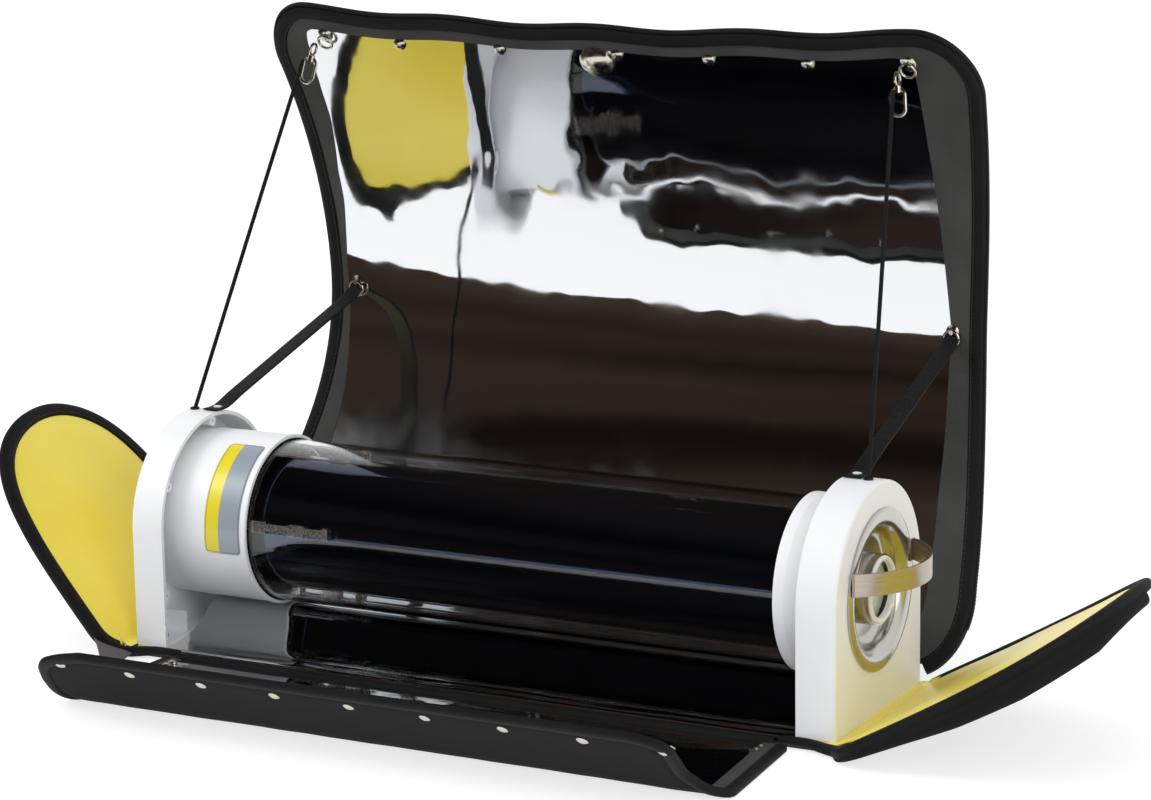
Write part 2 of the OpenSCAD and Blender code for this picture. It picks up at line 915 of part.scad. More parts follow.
module flap_border() {
    color(border_grey) difference() {
        flap_skin(flap_binding_w);
        translate([0, 0, flap_t - over]) linear_extrude(flap_skin_t + 2 * over)
            flap_floor_outline(flap_border_w);
        on_lip() translate([0, 0, flap_t / 2 - 0.5]) linear_extrude(flap_skin_t + 1)
            flap_lip_outline(flap_border_w);
    }
}

module flap_binding() {
    color(case_black) {
        linear_extrude(flap_t + 1.6) intersection() {
            difference() {
                flap_floor_outline(0);
                flap_floor_outline(flap_binding_w);
            }
            translate([-300, flap_crease_y + 2.2]) square([600, flap_floor_l - 8]);
        }
        on_lip() translate([0, 0, -flap_t / 2 - 0.8]) linear_extrude(flap_t + 1.8) difference() {
            flap_lip_outline(0);
            flap_lip_outline(flap_binding_w);
            translate([-300, -10]) square([600, 12.6]);
        }
    }
}

module flap_rivets() {
    color(steel) on_lip() for (k = [0:rivet_count - 1])
        translate([rivet_first_x + k * rivet_pitch, rivet_s, -flap_t / 2]) mirror([0, 0, 1])
            snap_cap(4.8, 1.6);
}

module flap_snaps() {
    color(steel) {
        on_lip() for (k = [0:rivet_count - 1])
            translate([rivet_first_x + k * rivet_pitch, rivet_s - 6, flap_t / 2 + flap_skin_t])
                snap_cap(4.2, 2.2);
        for (s = [-1, 1], d = [14, 22])
            translate([s * 246, flap_axis_y - d, flap_t + flap_skin_t]) snap_cap(3.6, 2.4);
    }
}

// Half the wing's width at a distance from its hinge: a full, flattened tip
// and a rounded flare at the root.
function wing_half(u, l, share) =
    let (full = wing_half_w * sqrt(max(0, 1 - pow(u / l, 4.5))), root = wing_root_half / share)
    u < wing_flare ? root + (full - root) * sqrt(1 - pow(1 - u / wing_flare, 2)) : full;

// How much of an inset still narrows the wing: none at its very tip.
function drawn(u, l) = min(1, 1.6 * sqrt(max(0, 1 - u / l)));

module wing_outline(l, inset) {
    reach = l - inset;
    us = concat(
        [for (k = [0:4]) wing_root + k * (wing_flare - wing_root) / 4],
        [for (a = [10:10:90]) wing_flare + (reach - wing_flare) * sin(a)]
    );
    front = [for (u = us) [u, -wing_front * wing_half(u, reach, wing_front) + inset * drawn(u, reach)]];
    back = [for (k = [len(us) - 2:-1:0]) let (u = us[k])
        [u, wing_back * wing_half(u, reach, wing_back) - inset * drawn(u, reach)]];
    polygon(concat(front, back));
}

// Places a wing's plate on its hinge axis: u runs outwards, Z is its lined face.
module on_wing(side, tilt) {
    if (side > 0)
        translate([wing_axis_x, 0, wing_axis_z]) rotate([0, -tilt, 0]) children();
    else
        translate([-wing_axis_x, 0, wing_axis_z]) rotate([0, tilt, 0]) mirror([1, 0, 0]) children();
}

module wing_panel(side, tilt, l) {
    on_wing(side, tilt) translate([0, 0, -3.6]) linear_extrude(5) wing_outline(l, wing_binding_w);
}

module wing_lining(side, tilt, l) {
    on_wing(side, tilt) translate([0, 0, 1.4]) linear_extrude(2.2) wing_outline(l, wing_binding_w);
}

module wing_binding(side, tilt, l) {
    on_wing(side, tilt) translate([0, 0, -hem_r]) linear_extrude(2 * hem_r) difference() {
        wing_outline(l, 0);
        wing_outline(l, wing_binding_w);
    }
}

module wing_hem(side) {
    translate([side * wing_axis_x, -82, wing_axis_z]) rotate([-90, 0, 0]) cylinder(h = 164, r = hem_r);
}

module left_wing_panel() {
    color(case_black) {
        wing_panel(-1, left_wing_tilt, left_wing_l);
        wing_hem(-1);
    }
}

module left_wing_lining() {
    color(lining_yellow) wing_lining(-1, left_wing_tilt, left_wing_l);
}

module left_wing_binding() {
    color(case_black) wing_binding(-1, left_wing_tilt, left_wing_l);
}

module right_wing_hem() {
    color(case_black) wing_hem(1);
}

module right_wing_panel() {
    color(case_black) wing_panel(1, right_wing_tilt, right_wing_l);
}

module right_wing_lining() {
    color(lining_yellow) wing_lining(1, right_wing_tilt, right_wing_l);
}

module right_wing_binding() {
    color(case_black) wing_binding(1, right_wing_tilt, right_wing_l);
}

// Point on the quadratic curve that starts and ends at the route's ends
// and passes its middle point.
function route_point(route, t) =
    (2 * t - 1) * (t - 1) * route[0] + 4 * t * (1 - t) * route[1] + t * (2 * t - 1) * route[2];

function crossed(a, b) = cross(a, b) / norm(cross(a, b));

// Ring of points round the route at t, square to the cord's run.
function route_ring(route, t) =
    let (run = route[2] - route[0], side = crossed(run, [1, 0, 0]), up = crossed(run, side))
    [for (k = [0:cord_sides - 1])
        route_point(route, t) + cord_d / 2 * (cos(45 * k) * side + sin(45 * k) * up)];

// A cord as one closed tube swept along its route.
module cord(route) {
    rings = [for (k = [0:cord_rings]) each route_ring(route, k / cord_rings)];
    sides = [for (k = [0:cord_rings - 1], s = [0:cord_sides - 1])
        let (a = k * cord_sides + s, b = k * cord_sides + (s + 1) % cord_sides)
        each [[a, b, b + cord_sides], [a, b + cord_sides, a + cord_sides]]];
    first = [for (s = [1:cord_sides - 2]) [0, s + 1, s]];
    last_ring = cord_rings * cord_sides;
    last = [for (s = [1:cord_sides - 2]) [last_ring, last_ring + s, last_ring + s + 1]];
    polyhedron(rings, concat(sides, first, last));
}

module cord_left() {
    color(case_black) cord(cord_route_left);
}

module cord_right() {
    color(case_black) cord(cord_route_right);
}

// Flat webbing from the bracket's top to the ring on the panel's side.
module strap(side) {
    lean = atan(strap_foot[1] / arch_r);
    foot = [side * strap_foot[0], strap_foot[1], arch_top(strap_foot[1])];
    bend = foot + strap_tab * [0, cos(lean), -sin(lean)];
    head = [side * side_ring_x, lid_face_y(side_ring_z) - 6, side_ring_z - 9];
    run = head - bend;
    turn = atan2(run[0], run[1]);
    rise = atan2(run[2], norm([run[0], run[1]]));
    translate(bend) rotate([0, 0, -turn]) rotate([rise, 0, 0])
        translate([-strap_w / 2, 0, 0]) cube([strap_w, norm(run), strap_t]);
    translate(foot) rotate([-lean, 0, 0])
        translate([-strap_w / 2, -strap_tab, 0]) cube([strap_w, 2 * strap_tab, strap_t]);
}

module strap_left() {
    color(case_black) strap(-1);
}

module strap_right() {
    color(case_black) strap(1);
}

case_base();
base_lining();
reflector_saddle();
base_mirror();
left_bracket();
right_bracket();
left_sleeve();
right_collar();
sleeve_label();
bracket_screws();
cord_eyelets();
strap_rivets();
outer_glass();
inner_glass();
support_spring();
tail_cushion();
sleeve_seal();
mouth_gasket();
tray_trough();
tray_plug();
plug_seals();
tray_dish();
knob_housing();
knob_ring();
knob_lens();
strap_handle();
lid_panel();
lid_border();
lid_mirror();
lid_binding();
lid_binding_left();
lid_binding_right();
lid_zip();
lid_snaps();
lid_button();
corner_rings();
left_snap_hook();
right_snap_hook();
side_rings();
flap_floor_panel();
flap_lip_panel();
flap_mirror();
flap_border();
flap_binding();
flap_rivets();
flap_snaps();
left_wing_panel();
left_wing_lining();
left_wing_binding();
right_wing_hem();
right_wing_panel();
right_wing_lining();
right_wing_binding();
cord_left();
cord_right();
strap_left();
strap_right();
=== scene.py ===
import math

import bpy
import numpy as np
from mathutils import Matrix, Vector


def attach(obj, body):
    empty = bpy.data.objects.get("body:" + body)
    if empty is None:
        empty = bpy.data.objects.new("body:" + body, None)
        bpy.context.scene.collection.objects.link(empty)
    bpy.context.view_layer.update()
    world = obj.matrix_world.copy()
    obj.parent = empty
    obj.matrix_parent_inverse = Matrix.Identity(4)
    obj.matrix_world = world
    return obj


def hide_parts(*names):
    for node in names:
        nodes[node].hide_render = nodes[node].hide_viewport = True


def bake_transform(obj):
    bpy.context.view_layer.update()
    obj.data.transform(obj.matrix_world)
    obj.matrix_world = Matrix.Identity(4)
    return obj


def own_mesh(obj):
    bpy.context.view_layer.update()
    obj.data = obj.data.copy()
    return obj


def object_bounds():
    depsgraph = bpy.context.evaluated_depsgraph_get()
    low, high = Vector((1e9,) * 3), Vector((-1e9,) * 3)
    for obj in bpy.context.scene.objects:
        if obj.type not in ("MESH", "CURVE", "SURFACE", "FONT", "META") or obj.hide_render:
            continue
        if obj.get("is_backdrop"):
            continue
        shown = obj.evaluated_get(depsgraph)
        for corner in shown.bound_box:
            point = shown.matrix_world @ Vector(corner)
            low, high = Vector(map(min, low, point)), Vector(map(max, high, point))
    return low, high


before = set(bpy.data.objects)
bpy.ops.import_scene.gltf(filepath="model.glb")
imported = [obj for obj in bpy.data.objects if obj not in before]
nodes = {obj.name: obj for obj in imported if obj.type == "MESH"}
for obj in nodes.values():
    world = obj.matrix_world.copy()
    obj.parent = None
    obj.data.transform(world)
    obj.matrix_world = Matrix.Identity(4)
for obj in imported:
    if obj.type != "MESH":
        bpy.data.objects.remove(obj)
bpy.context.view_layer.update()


# ---- camera
# The photographer stood to the right of the cooker and a little above it.
# The focal length is in pixels of the 1151 x 800 picture.
def place_camera():
    turn, rise, roll = (math.radians(a) for a in (27.44, 12.63, -0.87))
    ahead = Vector((-math.sin(turn) * math.cos(rise), math.cos(turn) * math.cos(rise), -math.sin(rise)))
    level = Vector((math.cos(turn), math.sin(turn), 0))
    upright = level.cross(ahead)
    right = level * math.cos(roll) + upright * math.sin(roll)
    up = upright * math.cos(roll) - level * math.sin(roll)
    data = bpy.data.cameras.new("photo_camera")
    data.sensor_width = 36
    data.lens = 3601.36 * data.sensor_width / 1151
    data.clip_start, data.clip_end = 0.1, 60
    camera = bpy.data.objects.new("photo_camera", data)
    eye = Vector((0.00101, 0.09677, 0.19294)) - ahead * 2.77823
    camera.matrix_world = Matrix(((right.x, up.x, -ahead.x, eye.x), (right.y, up.y, -ahead.y, eye.y),
                                  (right.z, up.z, -ahead.z, eye.z), (0, 0, 0, 1)))
    bpy.context.scene.collection.objects.link(camera)
    bpy.context.scene.camera = camera


place_camera()


# ---- stay cords
# Two braided polyester cords, 3.2 mm thick, hold the back panel up: each comes out of the
# top of a bracket and runs taut to a swivel hook at the panel's corner.
def colour(code):
    """An sRGB hex colour as linear RGBA."""
    parts = [int(code[k:k + 2], 16) / 255 for k in (1, 3, 5)]
    return [c / 12.92 if c <= 0.04045 else ((c + 0.055) / 1.055) ** 2.4 for c in parts] + [1.0]


def add_node(tree, kind, inputs=None, **settings):
    """Adds a node: a socket in inputs is linked, anything else is set as a value."""
    made = tree.nodes.new("ShaderNode" + kind)
    for name, value in settings.items():
        setattr(made, name, value)
    for name, value in (inputs or {}).items():
        if isinstance(value, bpy.types.NodeSocket):
            tree.links.new(value, made.inputs[name])
        else:
            made.inputs[name].default_value = value
    return made


def finish_of(name, code, roughness, metallic=0.0, **sockets):
    """A material with its principled shader: returns the material, its tree and the shader."""
    made = bpy.data.materials.new(name)
    made.use_nodes = True
    shader = made.node_tree.nodes["Principled BSDF"]
    shader.inputs["Base Color"].default_value = colour(code)
    shader.inputs["Roughness"].default_value = roughness
    shader.inputs["Metallic"].default_value = metallic
    for socket, value in sockets.items():
        shader.inputs[socket.replace("_", " ")].default_value = value
    return made, made.node_tree, shader


def wire(tree, shader, **sources):
    """Links what drives a socket of the shader, socket by socket."""
    for socket, source in sources.items():
        tree.links.new(source, shader.inputs[socket.replace("_", " ")])


def new_piece(name, points, faces, finish, flat=None, sharp=60):
    """A mesh piece from points in millimetres; flat is each point's place on the cut cloth, in mm."""
    mesh = bpy.data.meshes.new(name)
    mesh.from_pydata((np.asarray(points, float) / 1000).tolist(), [], faces)
    mesh.shade_smooth()
    mesh.set_sharp_from_angle(angle=math.radians(sharp))
    if flat is not None:
        mesh.attributes.new("flat", "FLOAT_VECTOR", "POINT").data.foreach_set(
            "vector", np.asarray(flat, np.float32).ravel())
    mesh.materials.append(finish)
    made = bpy.data.objects.new(name, mesh)
    bpy.context.scene.collection.objects.link(made)
    return made


def unit(vectors):
    return vectors / np.maximum(np.linalg.norm(vectors, axis=-1, keepdims=True), 1e-9)


def run_lengths(path):
    """How far along a path each of its points is."""
    return np.concatenate([[0], np.cumsum(np.linalg.norm(np.diff(path, axis=0), axis=1))])


def swept(name, path, normal, section, finish, closed=False, sharp=60):
    """A strand along a path: its section is (across, along the normal) in mm, at each point."""
    path, n = np.asarray(path, float), len(path)
    if closed:
        run = np.roll(path, -1, 0) - np.roll(path, 1, 0)
    else:
        run = np.gradient(path, axis=0)
    run = unit(run)
    across = unit(np.cross(run, np.broadcast_to(normal, path.shape)))
    out = np.cross(across, run)
    section = np.asarray(section, float)
    if section.ndim == 2:
        section = np.broadcast_to(section, (n,) + section.shape)
    m = section.shape[1]
    points = (path[:, None] + section[..., :1] * across[:, None] + section[..., 1:] * out[:, None])
    along = run_lengths(path)
    around = run_lengths(np.vstack([section[0], section[0][:1]]))[:m]
    flat = np.stack([np.broadcast_to(along[:, None], (n, m)), np.broadcast_to(around, (n, m)),
                     np.zeros((n, m))], -1)
    faces = [(i * m + j, i * m + (j + 1) % m, (i + 1) % n * m + (j + 1) % m, (i + 1) % n * m + j)
             for i in range(n if closed else n - 1) for j in range(m)]
    if not closed:
        faces += [tuple(range(m - 1, -1, -1)), tuple((n - 1) * m + j for j in range(m))]
    return new_piece(name, points.reshape(-1, 3), faces, finish, flat.reshape(-1, 3), sharp)


def rounded_section(half_w, half_h, count=12, power=2.6):
    """A soft-cornered oval, half_w across and half_h high."""
    angles = np.arange(count) * 2 * math.pi / count
    c, s = np.cos(angles), np.sin(angles)
    return np.stack([half_w * np.sign(c) * np.abs(c) ** (2 / power),
                     half_h * np.sign(s) * np.abs(s) ** (2 / power)], -1)


def braided_cord():
    """Braided polyester: crossed strands 1.6 mm wide give a fine diamond pattern; its colour is painted darker
    in the grooves between strands, as shade, and lighter on their crests, as highlight.
    """
    made, tree, shader = finish_of("braided_polyester_cord", "#141415", 0.7, Specular_IOR_Level=0.2)
    place = add_node(tree, "SeparateXYZ", {0: add_node(
        tree, "Attribute", attribute_name="flat").outputs["Vector"]})
    heights = []
    for way in (1, -1):
        slope = add_node(tree, "Math", {0: place.outputs[1], 1: way * 1.25,
                                        2: place.outputs[0]}, operation="MULTIPLY_ADD")
        turn = add_node(tree, "Math", {0: slope.outputs[0], 1: 2 * math.pi / 3.2}, operation="MULTIPLY")
        heights.append(add_node(tree, "Math", {0: turn.outputs[0]}, operation="SINE").outputs[0])
    weave = add_node(tree, "Math", {0: heights[0], 1: heights[1]}, operation="MAXIMUM")
    # painted shade and highlight: the colour follows the braid's height, darker in its grooves and lighter on
    # its crests
    shade = add_node(tree, "MapRange", {0: weave.outputs[0], 1: -1.0, 2: 1.0, 3: 0.45, 4: 1.5})
    tint = add_node(tree, "Mix", {0: 1.0, 6: colour("#131314"), 7: shade.outputs[0]},
                    data_type="RGBA", blend_type="MULTIPLY")
    bump = add_node(tree, "Bump", {"Height": weave.outputs[0], "Distance": 0.0003, "Strength": 0.8})
    wire(tree, shader, Base_Color=tint.outputs[2], Normal=bump.outputs[0])
    return made


cord_finish = braided_cord()
cord_radius = 1.6
cord_routes = {"left": ((-288, 4, 179), (-272, 68, 312), (-256, 130, 441)),
               "right": ((284, 4, 179), (267, 68, 312), (250, 130, 441))}
for side, route in cord_routes.items():
    low, middle, high = (np.array(p, float) for p in route)
    t = np.linspace(0, 1, 30)[:, None]
    line = (2 * t - 1) * (t - 1) * low + 4 * t * (1 - t) * middle + t * (2 * t - 1) * high
    cord = swept(f"stay_cord_{side}", line, (1, 0, 0), rounded_section(cord_radius, cord_radius, 12, 2),
                 cord_finish)
    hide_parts(f"cord_{side}")
    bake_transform(cord)
    run_lengths(line)[-1] / 1000


# ---- base board
# A foam board sewn into woven polyester. It carries both brackets and the mirror under
# the tube, and lies flat on the table.
def shell(name, u, v, top, bottom, place, finish, sharp=60):
    """A closed skin over a grid of flat places: its upper side at height top, its lower at bottom."""
    u, v = np.broadcast_arrays(np.asarray(u, float), np.asarray(v, float))
    rows, cols = u.shape
    top, bottom = np.broadcast_to(top, u.shape), np.broadcast_to(bottom, u.shape)
    points = np.concatenate([place(u, v, top).reshape(-1, 3), place(u, v, bottom).reshape(-1, 3)])
    flat = np.tile(np.stack([u, v, np.zeros(u.shape)], -1).reshape(-1, 3), (2, 1))
    count = rows * cols
    cell = [(i * cols + j, i * cols + j + 1, (i + 1) * cols + j + 1, (i + 1) * cols + j)
            for i in range(rows - 1) for j in range(cols - 1)]
    rim = ([j for j in range(cols)] + [i * cols + cols - 1 for i in range(1, rows)]
           + [(rows - 1) * cols + j for j in range(cols - 2, -1, -1)]
           + [i * cols for i in range(rows - 2, 0, -1)])
    across = points[cell[0][1]] - points[cell[0][0]]
    along = points[cell[0][3]] - points[cell[0][0]]
    upward = points[0] - points[count]
    turned = np.dot(np.cross(across, along), upward) < 0
    faces = []
    for a, b, c, d in cell:
        faces.append((d, c, b, a) if turned else (a, b, c, d))
        faces.append((count + a, count + b, count + c, count + d) if turned
                     else (count + d, count + c, count + b, count + a))
    for a, b in zip(rim, rim[1:] + rim[:1]):
        faces.append((a, b, count + b, count + a) if turned else (b, a, count + a, count + b))
    return new_piece(name, points, faces, finish, flat, sharp)


def edge_distance(u, v):
    """How far each place of a grid is from the grid's own edge."""
    edge = np.concatenate([np.stack([g[k] for g in (u, v)], -1) for k in (0, -1)]
                          + [np.stack([g[:, k] for g in (u, v)], -1) for k in (0, -1)])
    spots = np.stack([u, v], -1).reshape(-1, 1, 2)
    return np.min(np.linalg.norm(spots - edge[None], axis=2), axis=1).reshape(u.shape)


def soft_edge(distance, reach):
    """Rises round from 0 at the edge to 1 at a distance of reach."""
    return np.sqrt(1 - (1 - np.clip(distance / reach, 0, 1)) ** 2)


def ripple(u, v, length, seed):
    """A smooth random height of about -1 to 1 whose waves are about as long as length."""
    rng = np.random.default_rng(seed)
    total = np.zeros(np.broadcast(u, v).shape)
    for _ in range(10):
        way, size, start = rng.uniform(0, 2 * math.pi), length * rng.uniform(0.7, 1.6), rng.uniform(0, 6.28)
        total += np.sin((u * math.cos(way) + v * math.sin(way)) * 2 * math.pi / size + start)
    return total / 4


def woven(name, code, thread, roughness, depth, worn=0.25, **sockets):
    """Plain weave: each thread crosses over and under the others every thread millimetres; the colour is
    painted darker where a thread dips under, as shade, and lighter where it lies on top, as highlight.
    """
    made, tree, shader = finish_of(name, code, roughness, **sockets)
    flat = add_node(tree, "Attribute", attribute_name="flat").outputs["Vector"]
    place = add_node(tree, "SeparateXYZ", {0: flat})
    waves = []
    for axis in (0, 1):
        turn = add_node(tree, "Math", {0: place.outputs[axis], 1: math.pi / thread}, operation="MULTIPLY")
        waves.append(add_node(tree, "Math", {0: turn.outputs[0]}, operation="SINE").outputs[0])
    weave = add_node(tree, "Math", {0: waves[0], 1: waves[1]}, operation="MULTIPLY")
    cloudy = add_node(tree, "TexNoise", {"Vector": flat, "Scale": 0.02, "Detail": 4.0})
    shade = add_node(tree, "MapRange", {0: cloudy.outputs[0], 1: 0.3, 2: 0.7, 3: 1 - worn, 4: 1 + worn})
    # painted shade and highlight: the colour follows the weave's height, darker in its hollows and lighter on
    # its crests
    painted_thread_shading = add_node(tree, "MapRange", {0: weave.outputs[0], 1: -1.0, 2: 1.0, 3: 0.82, 4: 1.12})
    both = add_node(tree, "Math", {0: shade.outputs[0], 1: painted_thread_shading.outputs[0]}, operation="MULTIPLY")
    tint = add_node(tree, "Mix", {0: 1.0, 6: colour(code), 7: both.outputs[0]},
                    data_type="RGBA", blend_type="MULTIPLY")
    bump = add_node(tree, "Bump", {"Height": weave.outputs[0], "Distance": depth / 1000, "Strength": 0.7})
    wire(tree, shader, Base_Color=tint.outputs[2], Normal=bump.outputs[0])
    return made


# 600 denier polyester, black: matt, with threads 0.5 mm apart drawn 1.3 mm apart so that they show
case_cloth = woven("woven_black_polyester", "#141415", 1.3, 0.82, 0.12, Specular_IOR_Level=0.2)
half_span, base_half = 294.6, 84.0


def straight(u, v, w):
    return np.stack(np.broadcast_arrays(u, v, w), -1)


def stands_for(piece, body, slot, *names):
    """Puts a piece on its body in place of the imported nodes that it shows."""
    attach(piece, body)
    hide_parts(*names)


def base_board():
    x = np.linspace(-1, 1, 91)[:, None] * half_span
    y = np.linspace(-1, 1, 35)[None] * base_half
    x, y = np.broadcast_arrays(x, y)
    corner = np.clip(np.minimum(half_span - abs(x), 12) / 12, 0, 1)
    y = np.sign(y) * np.minimum(abs(y), base_half - 6 * (1 - np.sqrt(1 - (1 - corner) ** 2)))
    rim = soft_edge(edge_distance(x, y), 5)
    board = shell("base_board", x, y, 4 + 3.6 * rim, 4 - 4 * rim, straight, case_cloth)
    stands_for(board, "base", "case_fabric", "case_base")


base_board()


# ---- yellow base lining
# Polyurethane-coated cloth covers the base board and shows as a thin yellow edge at the
# feet of the brackets.
def coated_yellow():
    """Coated oxford cloth: a smooth film over the weave gives broad soft glints on its creases."""
    made, tree, shader = finish_of("coated_yellow_oxford", "#f4de42", 0.34, IOR=1.48,
                                   Coat_Weight=0.3, Coat_Roughness=0.22)
    flat = add_node(tree, "Attribute", attribute_name="flat").outputs["Vector"]
    fine = add_node(tree, "TexNoise", {"Vector": flat, "Scale": 0.9, "Detail": 2.0})
    broad = add_node(tree, "TexNoise", {"Vector": flat, "Scale": 0.018, "Detail": 3.0})
    tint = add_node(tree, "Mix", {0: broad.outputs[0], 6: colour("#efd840"), 7: colour("#f9e658")},
                    data_type="RGBA")
    rough = add_node(tree, "MapRange", {0: broad.outputs[0], 1: 0.3, 2: 0.7, 3: 0.3, 4: 0.44})
    bump = add_node(tree, "Bump", {"Height": fine.outputs[0], "Distance": 0.00012, "Strength": 0.5})
    wire(tree, shader, Base_Color=tint.outputs[2], Roughness=rough.outputs[0], Normal=bump.outputs[0])
    return made


lining_cloth = coated_yellow()


def base_lining():
    x = np.linspace(-1, 1, 121)[:, None] * (half_span - 2)
    half = np.where(abs(x) > 266, base_half - 1.5, base_half - 4.5)
    y = np.linspace(-1, 1, 27)[None] * half
    x, y = np.broadcast_arrays(x, y)
    edge = 1 - np.clip(edge_distance(x, y) / 8, 0, 1)
    lining = shell("base_yellow_lining", x, y, 8.45 - 0.5 * edge ** 2, 7.75 - 0.5 * edge ** 2, straight,
                   lining_cloth)
    stands_for(lining, "base", "yellow_lining", "base_lining")


base_lining()


# ---- mirror under the tube
# Metallised polyester film on a grey foam saddle. Two hollows that meet in a round ridge
# under the glass, so light that passes the tube comes back up to it.
hollow_r, hollow_y, ridge_top, deck = 78.0, 68.0, 32.5, 8.5
hollow_gap = hollow_r - (ridge_top - deck)
ridge_r = (hollow_y ** 2 + hollow_gap ** 2 - hollow_r ** 2) / (2 * (hollow_r - hollow_gap))
ridge_half = hollow_y * ridge_r / (hollow_r + ridge_r)


def saddle_height(y):
    """Height of the mirror's face at a distance from the middle of the base."""
    away = np.abs(y)
    hollow = deck + hollow_r - np.sqrt(hollow_r ** 2 - np.minimum(away - hollow_y, 0) ** 2)
    ridge = ridge_top - ridge_r + np.sqrt(np.maximum(ridge_r ** 2 - y ** 2, 0))
    return np.where(away < ridge_half, ridge, hollow)


def polyester_mirror():
    """Metallised film: a bright mirror with a faint grain, and a little duller where it has been rubbed."""
    made, tree, shader = finish_of("metallised_polyester_film", "#dfe1e4", 0.03, metallic=1.0)
    flat = add_node(tree, "Attribute", attribute_name="flat").outputs["Vector"]
    rubbed = add_node(tree, "TexNoise", {"Vector": flat, "Scale": 0.012, "Detail": 5.0, "Roughness": 0.6})
    grain = add_node(tree, "TexNoise", {"Vector": flat, "Scale": 0.12, "Detail": 2.0})
    rough = add_node(tree, "MapRange", {0: rubbed.outputs[0], 1: 0.45, 2: 0.75, 3: 0.02, 4: 0.09})
    bump = add_node(tree, "Bump", {"Height": grain.outputs[0], "Distance": 0.00002, "Strength": 0.2})
    wire(tree, shader, Roughness=rough.outputs[0], Normal=bump.outputs[0])
    return made


mirror_film = polyester_mirror()
film_left, film_right = -266.8, 264.0


def base_mirror():
    x = np.linspace(film_left, film_right, 133)[:, None]
    y = np.linspace(-1, 1, 113)[None] * (base_half - 0.4)
    x, y = np.broadcast_arrays(x, y)
    wave = 0.07 * ripple(x, y, 70, 4) + 0.03 * ripple(x * 0.3, y, 22, 5)
    curl = 1.5 * np.clip((abs(y) - 80.5) / 3.1, 0, 1) ** 2
    face = saddle_height(y) - curl + wave * np.clip((base_half - abs(y)) / 12, 0, 1)
    film = shell("base_mirror_film", x, y, face + 0.72, face + 0.3, straight, mirror_film)
    stands_for(film, "base", "reflector_film", "base_mirror")


def foam_saddle():
    """Closed-cell foam: fine open cells at its cut ends give a matt, slightly mottled grey."""
    made, tree, shader = finish_of("closed_cell_foam", "#4a4a48", 0.9, Sheen_Weight=0.1)
    place = add_node(tree, "TexCoord").outputs["Object"]
    cells = add_node(tree, "TexVoronoi", {"Vector": place, "Scale": 700.0})
    bump = add_node(tree, "Bump",
                    {"Height": cells.outputs["Distance"], "Distance": 0.0003, "Strength": 0.6})
    wire(tree, shader, Normal=bump.outputs[0])
    x = np.linspace(film_left + 1, film_right - 1, 41)[:, None]
    y = np.linspace(-1, 1, 61)[None] * hollow_y
    x, y = np.broadcast_arrays(x, y)
    face = np.maximum(saddle_height(y) - 0.7, deck + 0.02)
    foam = shell("mirror_foam_saddle", x, y, face, deck, straight, made)
    stands_for(foam, "base", "foam", "reflector_saddle")


base_mirror()
foam_saddle()


# ---- end brackets
# Two injection-moulded ABS brackets, white, with a sleeve and a collar of the same plastic
# round the ends of the glass. Their edges are rounded by the mould.
def moulded_abs():
    """Moulded ABS: cool white, softly glossy, with a fine spark-eroded grain of about 0.8 mm."""
    made, tree, shader = finish_of("moulded_white_abs", "#eeeff2", 0.42, IOR=1.53)
    place = add_node(tree, "TexCoord").outputs["Object"]
    grain = add_node(tree, "TexNoise", {"Vector": place, "Scale": 1200.0, "Detail": 2.0})
    handled = add_node(tree, "TexNoise", {"Vector": place, "Scale": 16.0, "Detail": 3.0})
    tint = add_node(tree, "Mix", {0: handled.outputs[0], 6: colour("#e9eaee"), 7: colour("#f2f3f5")},
                    data_type="RGBA")
    rough = add_node(tree, "MapRange", {0: handled.outputs[0], 1: 0.3, 2: 0.7, 3: 0.36, 4: 0.5})
    bump = add_node(tree, "Bump", {"Height": grain.outputs[0], "Distance": 0.00006, "Strength": 0.35})
    wire(tree, shader, Base_Color=tint.outputs[2], Roughness=rough.outputs[0], Normal=bump.outputs[0])
    return made


def refinish(finish, *names):
    """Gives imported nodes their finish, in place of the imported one."""
    for name in names:
        mesh = nodes[name].data
        mesh.materials.clear()
        mesh.materials.append(finish)


abs_white = moulded_abs()
refinish(abs_white, "left_bracket", "right_bracket", "left_sleeve", "right_collar", "strap_rivets",
         "tray_plug", "knob_ring")


